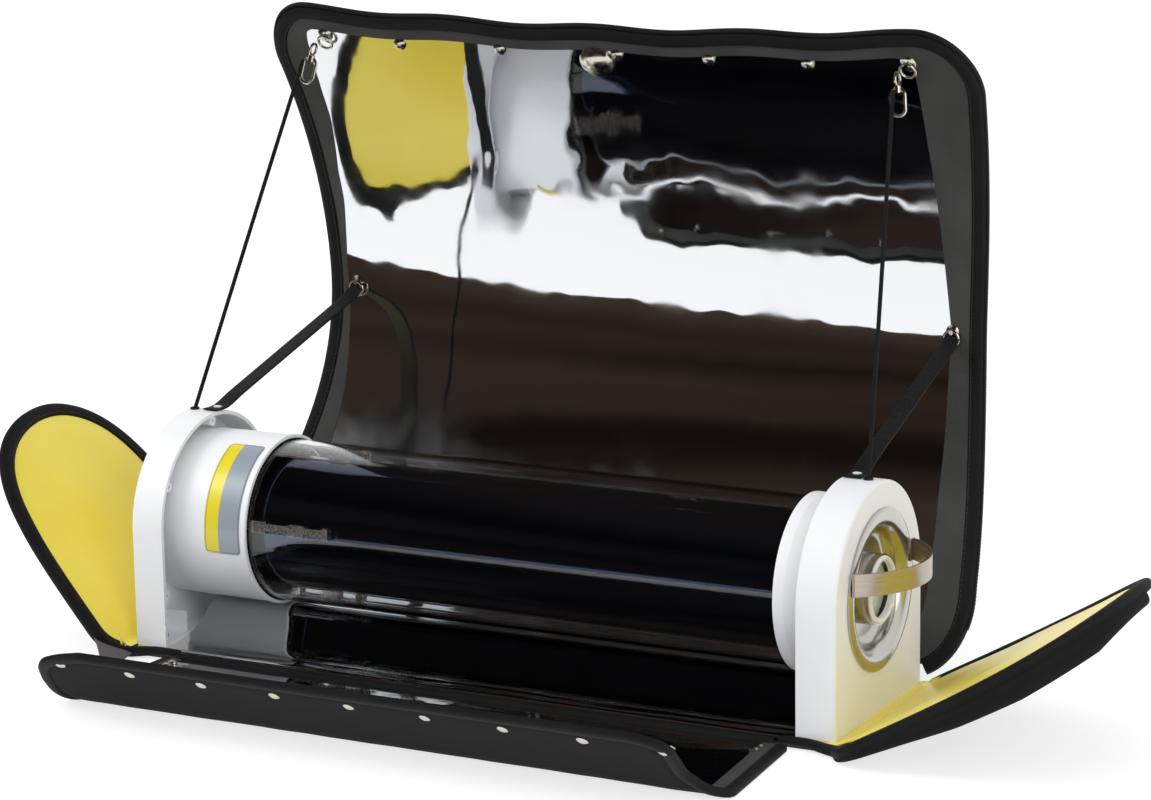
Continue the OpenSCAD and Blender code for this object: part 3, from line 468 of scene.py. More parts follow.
# ---- sleeve sticker
# A blank vinyl sticker on the front of the sleeve: a yellow strip beside a silver-grey
# field, with rounded corners and a thin dark keyline.
def sticker():
    made, tree, shader = finish_of("printed_vinyl", "#a7adb8", 0.3, IOR=1.5, Coat_Weight=0.4,
                                   Coat_Roughness=0.15)
    place = add_node(tree, "SeparateXYZ", {0: add_node(
        tree, "Attribute", attribute_name="flat").outputs["Vector"]})
    width, height, strip, line = 31.5, 95.5, 12.5, 0.45
    field = add_node(tree, "Math", {0: place.outputs[0], 1: strip}, operation="GREATER_THAN")
    tint = add_node(tree, "Mix", {0: field.outputs[0], 6: colour("#e6d51f"), 7: colour("#949ea9")},
                    data_type="RGBA")
    edge = add_node(tree, "Math", {0: place.outputs[2], 1: 1.0 + line}, operation="LESS_THAN")
    inner = add_node(tree, "Math", {0: place.outputs[2], 1: 1.0}, operation="GREATER_THAN")
    keyline = add_node(tree, "Math", {0: edge.outputs[0], 1: inner.outputs[0]}, operation="MULTIPLY")
    drawn = add_node(tree, "Mix", {0: keyline.outputs[0], 6: tint.outputs[2], 7: colour("#5c6068")},
                     data_type="RGBA")
    wire(tree, shader, Base_Color=drawn.outputs[2])
    radius, axis_z, corner = 65.72, 100.0, 4.0
    v = np.concatenate([np.linspace(0, corner, 8), np.linspace(corner, height - corner, 40)[1:-1],
                        np.linspace(height - corner, height, 8)])[:, None]
    bend = np.maximum(corner - np.minimum(v, height - v), 0)
    pull = corner - np.sqrt(np.maximum(corner ** 2 - bend ** 2, 0))
    u = pull + np.linspace(0, 1, 25)[None] * (width - 2 * pull)
    v = np.broadcast_to(v, u.shape)
    angle = np.radians(-13) + v / 65.5
    points = np.stack([-238 + 0.3 + u, -radius * np.cos(angle), axis_z + radius * np.sin(angle)], -1)
    inset = np.minimum(np.minimum(u, width - u), np.minimum(v, height - v))
    flat = np.stack([u, v, inset], -1)
    n, m = u.shape
    faces = [(i * m + j, i * m + j + 1, (i + 1) * m + j + 1, (i + 1) * m + j)
             for i in range(n - 1) for j in range(m - 1)]
    label = new_piece("sleeve_sticker", points.reshape(-1, 3), faces, made, flat.reshape(-1, 3))
    skin = label.modifiers.new("thickness", "SOLIDIFY")
    skin.thickness, skin.offset = 0.0002, -1
    stands_for(label, "base", "label_film", "sleeve_label")


sticker()


# ---- bracket hardware
# Pan-head steel screws hold the brackets down, black rubber ferrules line the cord holes,
# and silicone rings carry the glass.
def satin_steel(name, code, roughness, grit):
    """Stainless steel: metallic grey, its polishing lines blur the reflections a little."""
    made, tree, shader = finish_of(name, code, roughness, metallic=1.0)
    place = add_node(tree, "TexCoord").outputs["Object"]
    lines = add_node(tree, "TexNoise", {"Vector": place, "Scale": grit, "Detail": 3.0})
    rough = add_node(tree, "MapRange", {0: lines.outputs[0], 1: 0.3, 2: 0.7, 3: roughness - 0.05,
                                        4: roughness + 0.07})
    bump = add_node(tree, "Bump", {"Height": lines.outputs[0], "Distance": 0.00002, "Strength": 0.3})
    wire(tree, shader, Roughness=rough.outputs[0], Normal=bump.outputs[0])
    return made


def moulded_silicone(name, code):
    """Silicone rubber: dull and slightly waxy, with a dusty bloom."""
    made, tree, shader = finish_of(name, code, 0.6, IOR=1.42)
    place = add_node(tree, "TexCoord").outputs["Object"]
    bloom = add_node(tree, "TexNoise", {"Vector": place, "Scale": 90.0, "Detail": 4.0})
    tint = add_node(tree, "MapRange", {0: bloom.outputs[0], 1: 0.3, 2: 0.7, 3: 0.52, 4: 0.7})
    wire(tree, shader, Roughness=tint.outputs[0])
    return made


screw_steel = satin_steel("zinc_plated_screw_steel", "#b9babd", 0.28, 900.0)
black_rubber = moulded_silicone("black_silicone", "#121213")
grey_rubber = moulded_silicone("grey_silicone", "#4c4c4d")
refinish(screw_steel, "bracket_screws")
refinish(black_rubber, "cord_eyelets", "sleeve_seal", "plug_seals")
refinish(grey_rubber, "tail_cushion", "mouth_gasket")


# ---- vacuum tube
# Two borosilicate tubes one inside the other, fused at the mouth, with a vacuum between
# them. The inner one has a blue-black coating that soaks up sunlight.
def borosilicate():
    """Drawn clear glass: colourless, perfectly smooth, and bright only at grazing angles."""
    made, tree, shader = finish_of("clear_borosilicate_glass", "#fbfdff", 0.0, IOR=1.473,
                                   Transmission_Weight=1.0)
    place = add_node(tree, "TexCoord").outputs["Object"]
    drawn = add_node(tree, "Mapping", {"Vector": place, "Scale": (1.5, 30, 30)})
    lines = add_node(tree, "TexNoise", {"Vector": drawn.outputs[0], "Scale": 1.0, "Detail": 1.0})
    bump = add_node(tree, "Bump", {"Height": lines.outputs[0], "Distance": 0.00008, "Strength": 0.2})
    wire(tree, shader, Normal=bump.outputs[0])
    return made


def selective_coating():
    """Sputtered absorber on glass: near black with a navy cast, mirror smooth."""
    made, tree, shader = finish_of("selective_absorber_coating", "#04070d", 0.06, IOR=1.9,
                                   Specular_Tint=colour("#9dbde6"))
    place = add_node(tree, "TexCoord").outputs["Object"]
    cast = add_node(tree, "TexNoise", {"Vector": place, "Scale": 9.0, "Detail": 2.0})
    tint = add_node(tree, "Mix", {0: cast.outputs[0], 6: colour("#02060c"), 7: colour("#061224")},
                    data_type="RGBA")
    wire(tree, shader, Base_Color=tint.outputs[2])
    return made


refinish(borosilicate(), "outer_glass")
refinish(selective_coating(), "inner_glass")
refinish(satin_steel("spring_steel_strip", "#cfc9c2", 0.25, 700.0), "support_spring")


# ---- cooking tray
# A stainless trough behind an insulated plug. Its pressed dish, knob housing and strap
# handle are the only parts that show outside the right bracket.
def turned_steel():
    """Spun stainless steel: fine rings round the axis, 0.5 mm apart drawn 1.2 mm apart so that they show."""
    made, tree, shader = finish_of("spun_stainless_steel", "#bfbcb7", 0.22, metallic=1.0)
    place = add_node(tree, "SeparateXYZ", {0: add_node(tree, "TexCoord").outputs["Object"]})
    up = add_node(tree, "Math", {0: place.outputs[2], 1: 0.1}, operation="SUBTRACT")
    flat = add_node(tree, "CombineXYZ", {0: place.outputs[1], 1: up.outputs[0]})
    out = add_node(tree, "VectorMath", {0: flat.outputs[0]}, operation="LENGTH")
    turn = add_node(tree, "Math", {0: out.outputs["Value"], 1: 2 * math.pi / 0.0012}, operation="MULTIPLY")
    rings = add_node(tree, "Math", {0: turn.outputs[0]}, operation="SINE")
    bump = add_node(tree, "Bump", {"Height": rings.outputs[0], "Distance": 0.000012, "Strength": 0.25})
    wire(tree, shader, Normal=bump.outputs[0])
    return made


def brushed_steel():
    """Brushed stainless strip: scratches 0.15 mm apart run along the strap, drawn 0.6 mm apart."""
    made, tree, shader = finish_of("brushed_stainless_strip", "#b3aaa0", 0.3, metallic=1.0)
    place = add_node(tree, "TexCoord").outputs["Object"]
    drawn = add_node(tree, "Mapping", {"Vector": place, "Scale": (12, 12, 1600)})
    lines = add_node(tree, "TexNoise", {"Vector": drawn.outputs[0], "Scale": 1.0, "Detail": 3.0})
    rough = add_node(tree, "MapRange", {0: lines.outputs[0], 1: 0.3, 2: 0.7, 3: 0.24, 4: 0.4})
    bump = add_node(tree, "Bump", {"Height": lines.outputs[0], "Distance": 0.00003, "Strength": 0.35})
    wire(tree, shader, Roughness=rough.outputs[0], Normal=bump.outputs[0])
    return made


def sight_glass():
    """Clear moulded lens over the knob: slightly frosted behind, so it reads pale grey."""
    made, tree, shader = finish_of("frosted_sight_glass", "#c3c9cb", 0.12, IOR=1.5, Coat_Weight=1.0,
                                   Coat_Roughness=0.02)
    place = add_node(tree, "TexCoord").outputs["Object"]
    frost = add_node(tree, "TexNoise", {"Vector": place, "Scale": 60.0, "Detail": 3.0})
    tint = add_node(tree, "Mix", {0: frost.outputs[0], 6: colour("#a9b1b3"), 7: colour("#dfe4e3")},
                    data_type="RGBA")
    wire(tree, shader, Base_Color=tint.outputs[2])
    return made


spun_steel = turned_steel()
refinish(spun_steel, "tray_dish", "knob_housing")
refinish(satin_steel("drawn_tray_steel", "#bdbab6", 0.3, 500.0), "tray_trough")
refinish(brushed_steel(), "strap_handle")
refinish(sight_glass(), "knob_lens")


# ---- back panel
# A curved foam board in woven polyester, faced with dark grey cloth round a sheet of
# metallised film. It bends the sunlight back on to the tube.
waist_z, lid_top = 243.5, 480.0
lid_foot = (89.0, 7.0)


def lid_curve():
    """The panel's middle surface from the hinge up: y, and the unit normal towards the tube."""
    z = np.linspace(4, 492, 977)
    foot_y, foot_z = -19 + 240 * math.cos(math.radians(-46.8)), waist_z + 240 * math.sin(math.radians(-46.8))
    low = -19 + np.sqrt(np.maximum(240 ** 2 - (z - waist_z) ** 2, 0))
    high = -187 + np.sqrt(408 ** 2 - (z - waist_z) ** 2)
    foot = lid_foot[0] + (z - lid_foot[1]) * (foot_y - lid_foot[0]) / (foot_z - lid_foot[1])
    y = np.where(z < foot_z, foot, np.where(z < waist_z, low, high))
    for _ in range(40):
        y[1:-1] = (y[:-2] + 2 * y[1:-1] + y[2:]) / 4
    slope = np.gradient(y, z)
    length = np.sqrt(1 + slope ** 2)
    return z, y, -1 / length, slope / length


lid_z, lid_y, lid_ny, lid_nz = lid_curve()


def on_lid(x, z, w):
    """A place on the back panel: x across, z up, w out of its mirror face from the middle surface."""
    x, z, w = np.broadcast_arrays(np.asarray(x, float), z, w)
    return np.stack([x, np.interp(z, lid_z, lid_y) + w * np.interp(z, lid_z, lid_ny),
                     z + w * np.interp(z, lid_z, lid_nz)], -1)


def lid_half(z):
    return np.where(z < waist_z, 289 + 23 * ((waist_z - z) / 175) ** 2,
                    289 + 14 * (np.maximum(z - waist_z, 0) / 180) ** 1.5)


def lid_edge(side, top):
    """Right edge of the panel's outline from the bottom up, drawn in by side and top."""
    r = max(45 - side, 14)
    high = lid_top - top - r
    low_angles = np.linspace(math.pi / 2, 0, 19)[:-1]
    z_low = 62 - 50 * np.sin(low_angles)
    low = np.stack([lid_half(z_low) - side - 48 * (1 - np.cos(low_angles)), z_low], -1)
    z_mid = np.linspace(62, high, 70)
    mid = np.stack([lid_half(z_mid) - side, z_mid], -1)
    turn = np.linspace(0, math.pi / 2, 19)[1:]
    corner = np.stack([lid_half(high) - side - r + r * np.cos(turn), high + r * np.sin(turn)], -1)
    return np.concatenate([low, mid, corner])


def top_wave(x):
    """The soft top edge stands higher at its corners, and bulges a little between the snaps."""
    return 9 * (np.abs(x) / 290) ** 2 - 5.5 + 1.6 * np.sin((x + 40) * 2 * math.pi / 128)


def wavy(x, z):
    """Lifts the places near the top edge by its wave."""
    return z + top_wave(x) * np.clip((z - 330) / 140, 0, 1) ** 2


def panel_grid(side, top, rows, cols):
    """Flat places over the panel's outline, drawn in by side and top."""
    edge = lid_edge(side, top)
    low, high = edge[0, 1], edge[-1, 1]
    share = np.linspace(0, 1, rows)
    z = low + (high - low) * (1 - (1 - share) ** 1.35)
    z[-1] = high
    half = np.interp(z, edge[:, 1], edge[:, 0])
    half[-1] = edge[-1, 0]
    x = half[:, None] * np.linspace(-1, 1, cols)[None]
    return x, np.broadcast_to(z[:, None], x.shape)


def lid_panel():
    x, z = panel_grid(10, 10, 90, 110)
    rim = soft_edge(edge_distance(x, z), 14)
    cover = 0.5 * ripple(x, z, 110, 21) + 0.25 * ripple(x, z, 45, 22)
    back = -1.5 - rim * (2.4 + 0.6 * cover)
    panel = shell("back_panel_pad", x, wavy(x, z), 1.6, back, on_lid, case_cloth)
    stands_for(panel, "lid", "case_fabric", "lid_panel")
    roll = swept("back_panel_hem", [(x, lid_foot[0], lid_foot[1]) for x in np.linspace(-250, 250, 60)],
                 (0, 0, 1), rounded_section(4.4, 4.4, 16, 2), case_cloth)
    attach(roll, "lid")


film_foot, film_top, film_corner = 16.0, lid_top - 18, 13.0
facing_widths = {-1: ((16, 120, 200, 262, 287, 314, 340, 384, 406, 426, 438, 452),
                      (34, 28, 18, 14.6, 16.7, 19.8, 20.2, 27.1, 27.7, 29.7, 31.7, 35)),
                 1: ((16, 123, 155, 170, 246, 327, 400, 454, 466),
                     (38, 33, 30, 29, 25.2, 35.8, 45.7, 51.1, 56))}


def film_half(z, sign):
    """How far the film reaches to one side: the facing beside it is not equally wide all the way up."""
    foot = 48 * (1 - np.sqrt(1 - np.clip((62 - z) / 50, 0, 1) ** 2))
    rise = np.clip(z - (film_top - film_corner), 0, film_corner)
    corner = film_corner - np.sqrt(film_corner ** 2 - rise ** 2)
    return lid_half(z) - foot - np.interp(z, *facing_widths[sign]) - corner


def lid_film():
    z = film_foot + (film_top - film_foot) * (1 - (1 - np.linspace(0, 1, 190)) ** 1.35)
    left, right = (film_half(z, sign)[:, None] for sign in (-1, 1))
    x = -left + (left + right) * np.linspace(0, 1, 220)[None]
    z = np.broadcast_to(z[:, None], x.shape)
    edge = np.clip(edge_distance(x, z) / 30, 0, 1)
    wave = 0.17 * ripple(x, z, 120, 31) + 0.05 * ripple(x, z, 46, 32) + 0.012 * ripple(x, z, 20, 33)
    film = shell("back_mirror_film", x, wavy(x, z), 2.45 + wave * edge, 2.1 + wave * edge, on_lid,
                 mirror_film)
    stands_for(film, "lid", "reflector_film", "lid_mirror")


# Dark grey facing cloth: threads 0.4 mm apart drawn 1.1 mm apart so that they show
facing_cloth = woven("woven_grey_facing", "#3d3d3d", 1.1, 0.75, 0.1, Specular_IOR_Level=0.3)


def outline_loop(edge):
    """The whole open outline from the right foot over the top to the left foot."""
    return np.concatenate([edge, (edge * (-1, 1))[::-1]])


def resampled(line, count):
    """The same line with its points evenly spaced."""
    line = np.asarray(line, float)
    along = run_lengths(line)
    spots = np.linspace(0, along[-1], count)
    return np.stack([np.interp(spots, along, line[:, k]) for k in range(line.shape[1])], -1)


def three_runs(line, counts):
    """A panel outline resampled as right side, top and left side, so that corners stay paired."""
    right, left = np.argmax(line[:, 0] + line[:, 1]), np.argmax(line[:, 1] - line[:, 0])
    runs = (line[:right + 1], line[right:left + 1], line[left:])
    return np.concatenate([resampled(run, count)[(k > 0):] for k,
                           (run, count) in enumerate(zip(runs, counts))])


def lid_facing():
    edge = lid_edge(9, 9)
    kept = edge[edge[:, 1] > film_foot]
    kept = np.concatenate([[(np.interp(film_foot, edge[:, 1], edge[:, 0]), film_foot)], kept])
    z = np.concatenate([np.linspace(film_foot, film_top - film_corner, 120), film_top - film_corner
                        + film_corner * np.sin(np.linspace(0, math.pi / 2, 16)[1:])])
    right, left = (np.stack([sign * (film_half(z, sign) - 1), z - np.clip(z - film_top + 1, 0, 1)], -1)
                   for sign in (1, -1))
    lines = [three_runs(line, (130, 90, 130)) for line in (outline_loop(kept),
                                                           np.concatenate([right, left[::-1]]))]
    share = np.linspace(0, 1, 9)[:, None, None]
    grid = lines[0] + (lines[1] - lines[0]) * share
    x, z = grid[..., 0], grid[..., 1]
    lift = 0.35 * np.sin(share[..., 0] * math.pi) * (1 + 0.8 * ripple(x, z, 60, 41))
    facing = shell("back_panel_facing", x, wavy(x, z), 2.95 + lift, 1.9, on_lid, facing_cloth)
    stands_for(facing, "lid", "border_fabric", "lid_border")


# Grosgrain binding tape: close ribs across it, matt black with a slight sheen on its round edge
binding_tape = woven("grosgrain_binding_tape", "#0f0f10", 0.9, 0.72, 0.14, worn=0.3,
                     Specular_IOR_Level=0.25)


def bound(name, line, place, w, half_w, half_h, finish, closed=False):
    """A rounded tape folded over an edge: line is its middle on the flat cloth."""
    line = np.asarray(line, float)
    path = place(line[:, 0], line[:, 1], w)
    normal = unit(place(line[:, 0], line[:, 1], w + 1) - path)
    return swept(name, path, normal, rounded_section(half_w, half_h, 16, 2.8), finish, closed)


def lid_binding():
    line = outline_loop(lid_edge(6.2, 6.2))
    line = resampled(line[line[:, 1] >= 15], 420)
    line[:, 1] = wavy(line[:, 0], line[:, 1])
    tape = bound("back_panel_binding", line, on_lid, -0.3, 6.4, 4.9, binding_tape)
    stands_for(tape, "lid", "case_fabric", "lid_binding", "lid_binding_left", "lid_binding_right")


lid_panel()
lid_film()
lid_facing()
lid_binding()


# ---- zip track
# Nylon zip coil sewn round the outer edge of the back panel: its teeth sit 2.4 mm apart on
# a woven tape.
def toothed(name, line, place, w, finish, pitch, size):
    """A row of small rounded teeth along a flat line; size is (along, across, high)."""
    line = np.asarray(line, float)
    count = int(run_lengths(place(line[:, 0], line[:, 1], w))[-1] / pitch)
    line = resampled(line, count)
    middle = place(line[:, 0], line[:, 1], w)
    normal = unit(place(line[:, 0], line[:, 1], w + 1) - middle)
    run = unit(np.gradient(middle, axis=0))
    across = np.cross(run, normal)
    ring = [(-1, -0.4), (-0.4, -1), (0.4, -1), (1, -0.4), (1, 0.4), (0.4, 1), (-0.4, 1), (-1, 0.4)]
    form = np.array([(a * s, b * s, h) for h, s in ((-1, 0.7), (-0.5, 1), (0.5, 1), (1, 0.7)) for a,
                     b in ring])
    form = form * np.array(size) / 2
    points = middle[:, None] + (form[:, 0, None] * run[:, None] + form[:, 1, None] * across[:, None]
                                + form[:, 2, None] * normal[:, None])
    faces = []
    for k in range(count):
        base = k * 32
        faces += [(base + 8 * h + j, base + 8 * h + (j + 1) % 8, base + 8 * h + 8 + (j + 1) % 8,
                   base + 8 * h + 8 + j)
                  for h in range(3) for j in range(8)]
        faces += [tuple(base + j for j in range(7, -1, -1)), tuple(base + 24 + j for j in range(8))]
    flat = np.repeat(np.stack([line[:, 0], line[:, 1], np.zeros(count)], -1), 32, 0)
    return new_piece(name, points.reshape(-1, 3), faces, finish, flat, 50)


def moulded_nylon():
    """Nylon coil: black and smooth, glossier than the cloth round it."""
    made, tree, shader = finish_of("black_nylon_coil", "#17171a", 0.38, IOR=1.53)
    flat = add_node(tree, "Attribute", attribute_name="flat").outputs["Vector"]
    worn = add_node(tree, "TexNoise", {"Vector": flat, "Scale": 0.05, "Detail": 2.0})
    rough = add_node(tree, "MapRange", {0: worn.outputs[0], 1: 0.3, 2: 0.7, 3: 0.3, 4: 0.5})
    wire(tree, shader, Roughness=rough.outputs[0])
    return made


def zip_track():
    nylon = moulded_nylon()
    line = outline_loop(lid_edge(-0.2, -0.2))
    line = line[line[:, 1] > 40]
    line = resampled(line, 500)
    line[:, 1] = wavy(line[:, 0], line[:, 1])
    tape = bound("back_zip_tape", line, on_lid, 0.0, 1.1, 2.2, binding_tape)
    teeth = toothed("back_zip_coil", line, on_lid, 0.0, nylon, 2.4, (1.7, 3.0, 2.6))
    for piece in (tape, teeth):
        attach(piece, "lid")
    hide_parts("lid_zip")


zip_track()


# ---- panel hardware
# Nickel-plated snaps, a domed closing button, corner and side rings and two swivel hooks,
# all pressed or hooked through the panel's facing.
def nickel():
    """Nickel plate on brass: bright and warm, with tiny rubbed marks."""
    made, tree, shader = finish_of("nickel_plated_brass", "#cfcac0", 0.14, metallic=1.0)
    place = add_node(tree, "TexCoord").outputs["Object"]
    marks = add_node(tree, "TexNoise", {"Vector": place, "Scale": 260.0, "Detail": 4.0})
    rough = add_node(tree, "MapRange", {0: marks.outputs[0], 1: 0.35, 2: 0.7, 3: 0.09, 4: 0.26})
    bump = add_node(tree, "Bump", {"Height": marks.outputs[0], "Distance": 0.00003, "Strength": 0.25})
    wire(tree, shader, Roughness=rough.outputs[0], Normal=bump.outputs[0])
    return made


plated = nickel()
refinish(plated, "lid_snaps", "lid_button", "corner_rings", "left_snap_hook", "right_snap_hook",
         "side_rings", "flap_rivets", "flap_snaps")


# ---- front flap
# A padded flap in front of the base: its floor part lies on the table, and its lip is
# folded up. Both are faced with film, and nine rivets hold the snaps along the lip.
flap_y, flap_floor, flap_lip, lip_tilt, flap_mid = -89.0, 107.0, 88.0, math.radians(42.3), 2.5


def flap_curve():
    """The flap's middle surface from its hinge: (y, z) and heading at each distance."""
    d = np.linspace(0, flap_floor + flap_lip + 12, 800)
    share = np.clip((d - flap_floor + 8) / 26, 0, 1)
    heading = lip_tilt * share * share * (3 - 2 * share)
    step = d[1] - d[0]
    y = flap_y - np.concatenate([[0], np.cumsum(np.cos(heading[:-1]) * step)])
    z = flap_mid + np.concatenate([[0], np.cumsum(np.sin(heading[:-1]) * step)])
    return d, y, z, heading


flap_d, flap_ys, flap_zs, flap_heads = flap_curve()


def on_flap(x, d, w):
    """A place on the flap: x across, d away from the hinge, w out of its mirror face."""
    x, d, w = np.broadcast_arrays(np.asarray(x, float), d, w)
    head = np.interp(d, flap_d, flap_heads)
    return np.stack([x, np.interp(d, flap_d, flap_ys) + w * np.sin(head),
                     np.interp(d, flap_d, flap_zs) + w * np.cos(head)], -1)


flap_sides = {-1: ((0, 80, 107, 127, 147, 167, 177, 187, 195, 210),
                   (262, 270, 274, 281, 278, 271, 264, 247, 224, 180)),
              1: ((0, 80, 107, 122, 142, 182, 187, 192, 195, 210),
                  (262, 268, 270, 256, 248, 250, 247, 239, 228, 170))}


def flap_half(d, sign, inset):
    """How far the flap reaches to one side at a distance from its hinge: its ends are cut in at the lip."""
    fine = np.arange(-12.0, 215.0)
    half = np.interp(fine, *flap_sides[sign])
    for _ in range(10):
        half[1:-1] = (half[:-2] + 2 * half[1:-1] + half[2:]) / 4
    return np.interp(d + inset * np.clip((d - 120) / 60, 0, 1), fine, half) - inset


def flap_rows(inset, count, start):
    return start + (flap_floor + flap_lip - inset - start) * (1 - (1 - np.linspace(0, 1, count)) ** 1.3)


def flap_outline(inset, start=0.0):
    """The flap's open outline from the right end of its hinge over the lip to the left end."""
    d = flap_rows(inset, 90, start)
    right, left = (np.stack([sign * flap_half(d, sign, inset), d], -1) for sign in (1, -1))
    return np.concatenate([right, left[::-1]])


def flap_grid(inset, rows, cols, start=0.0):
    d = flap_rows(inset, rows, start)
    right, left = (flap_half(d, sign, inset)[:, None] for sign in (1, -1))
    x = -left + (left + right) * np.linspace(0, 1, cols)[None]
    return x, np.broadcast_to(d[:, None], x.shape)


def front_flap():
    x, d = flap_grid(7, 70, 90, 2.0)
    rim = soft_edge(edge_distance(x, d), 10)
    cover = 0.35 * ripple(x, d, 90, 51) + 0.2 * ripple(x, d, 38, 52)
    under = np.where(d < flap_floor - 6, -2.45, -2.2 - 0.5 * cover)
    pad = shell("front_flap_pad", x, d, 1.9, -1 + rim * (under + 1), on_flap, case_cloth)
    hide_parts("flap_floor_panel", "flap_lip_panel")
    hem = swept("front_flap_hem", [(x, flap_y, 4.5) for x in np.linspace(-250, 250, 60)],
                (0, 0, 1), rounded_section(4.4, 4.4, 16, 2), case_cloth)
    x, d = flap_grid(17, 110, 200, 3.0)
    wave = 0.14 * ripple(x, d, 80, 53) + 0.04 * ripple(x, d, 30, 54)
    calm = np.clip(edge_distance(x, d) / 20, 0, 1)
    film = shell("front_mirror_film", x, d, 2.95 + wave * calm, 2.5 + wave * calm, on_flap, mirror_film)
    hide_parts("flap_mirror")
    outer, inner = (resampled(flap_outline(i, 3.0), 260) for i in (8, 18))
    share = np.linspace(0, 1, 6)[:, None, None]
    grid = outer + (inner - outer) * share
    x, d = grid[..., 0], grid[..., 1]
    facing = shell("front_flap_facing", x, d, 3.35 + 0.25 * np.sin(share[..., 0] * math.pi), 2.3, on_flap,
                   facing_cloth)
    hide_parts("flap_border")
    line = resampled(flap_outline(4.4, 2.0), 300)
    tape = bound("front_flap_binding", line, on_flap, 0.3, 4.6, 3.3, binding_tape)
    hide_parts("flap_binding")
    for piece in (pad, hem, film, facing, tape):
        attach(piece, "front_flap")


front_flap()


# ---- wings
# A padded wing folds out at each end of the case: black polyester outside, glossy yellow
# lining inside and a black tape round the edge.
wing_axis, wing_axis_z = 299.6, 4.5
wings = {"left": (-1, math.radians(50), 213.0), "right": (1, math.radians(29.4), 226.0)}
tip_lift = {"left": 0.0, "right": 10.0}


def on_wing(side):
    """A function that gives a place on a wing: u away from its hinge, v front to back, w out of its lining."""
    sign, tilt, length = wings[side]

    def place(u, v, w):
        u, v, w = np.broadcast_arrays(np.asarray(u, float), v, w)
        w = w + tip_lift[side] * np.clip(u / length, 0, 1.05) ** 3
        return np.stack([sign * (wing_axis + u * math.cos(tilt) - w * math.sin(tilt)), v,
                         wing_axis_z + u * math.sin(tilt) + w * math.cos(tilt)], -1)
    return place


def wing_half(u, reach, share):
    full = 106 * np.sqrt(np.maximum(0, 1 - (u / reach) ** 4.5))
    root = 84 / share
    flare = root + (full - root) * np.sqrt(np.maximum(0, 1 - (1 - u / 25) ** 2))
    return np.where(u < 25, flare, full)


def wing_edges(length, inset, rows):
    """Distances from the hinge, and the wing's front and back edges there."""
    reach = length - inset
    turn = np.linspace(0, math.pi / 2, rows)[1:]
    u = np.concatenate([np.linspace(5, 25, 9), 25 + (reach - 25) * np.sin(turn)])
    drawn = inset * np.minimum(1, 1.6 * np.sqrt(np.maximum(0, 1 - u / reach)))
    front = -1.05 * wing_half(u, reach, 1.05) + drawn
    back = 0.87 * wing_half(u, reach, 0.87) - drawn
    front[-1], back[-1] = -0.6, 0.6
    return u, front, back


def wing_grid(length, inset, rows, cols):
    u, front, back = wing_edges(length, inset, rows)
    share = np.linspace(0, 1, cols)[None]
    v = front[:, None] + (back - front)[:, None] * share
    return np.broadcast_to(u[:, None], v.shape), v


def wing(side):
    length, place = wings[side][2], on_wing(side)
    seed = 60 if side == "left" else 70
    u, v = wing_grid(length, 9, 46, 70)
    rim = soft_edge(edge_distance(u, v), 12)
    cover = 0.6 * ripple(u, v, 90, seed) + 0.25 * ripple(u, v, 36, seed + 1)
    pad = shell(f"{side}_wing_pad", u, v, 1.3, -1.5 - rim * (2.2 + 0.8 * cover), place, case_cloth)
    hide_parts(f"{side}_wing_panel")
    u, v = wing_grid(length, 11, 80, 110)
    inside = edge_distance(u, v)
    crease = 0.7 * ripple(u, v, 85, seed + 2) + 0.3 * ripple(u * 0.5, v, 34, seed + 3)
    puff = soft_edge(inside, 16)
    face = 1.7 + puff * (1.5 + 0.55 * crease)
    lining = shell(f"{side}_wing_yellow_lining", u, v, face, face - 0.5, place, lining_cloth)
    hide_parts(f"{side}_wing_lining")
    u, front, back = wing_edges(length, 11, 80)
    u, front, back = wing_edges(length, 6.2, 60)
    line = np.concatenate([np.stack([u, front], -1), np.stack([u, back], -1)[::-1]])
    tape = bound(f"{side}_wing_binding", resampled(line, 260), place, 0.0, 6.4, 4.3, binding_tape)
    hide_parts(f"{side}_wing_binding")
    hem = swept(f"{side}_wing_hem",
                [(wings[side][0] * wing_axis, y, wing_axis_z) for y in np.linspace(-82, 82, 40)],
                (0, 0, 1), rounded_section(4.4, 4.4, 16, 2), case_cloth)
    if side == "right":
        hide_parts("right_wing_hem")
    for piece in (pad, lining, tape):
        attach(piece, f"{side}_wing")
    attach(hem, "left_wing" if side == "left" else "right_wing_root")


wing("left")
wing("right")


def wing_front_roll():
    """The right wing's front edge: a fuller roll of padding, thickest about 150 mm from the hinge and thinner
    at both ends.
    """
    place, length = on_wing("right"), wings["right"][2]
    u, front, _ = wing_edges(length, 6.2, 70)
    kept = u < 221
    u, front = u[kept], front[kept] + 0.8
    depth = np.interp(u, (0, 60, 100, 150, 200, 222), (4, 10, 15, 18, 17, 9))
    path = place(u, front, -depth / 2)
    normal = unit(place(u, front, -depth / 2 + 1) - path)
    section = np.stack([rounded_section(6.6, d / 2 + 2, 18, 2.4) for d in depth])
    roll = swept("right_wing_front_roll", path, normal, section, case_cloth)
    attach(roll, "right_wing")
    tuple(place(60.0, 0.0, 0.5) / 1000)
    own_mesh(roll)


wing_front_roll()


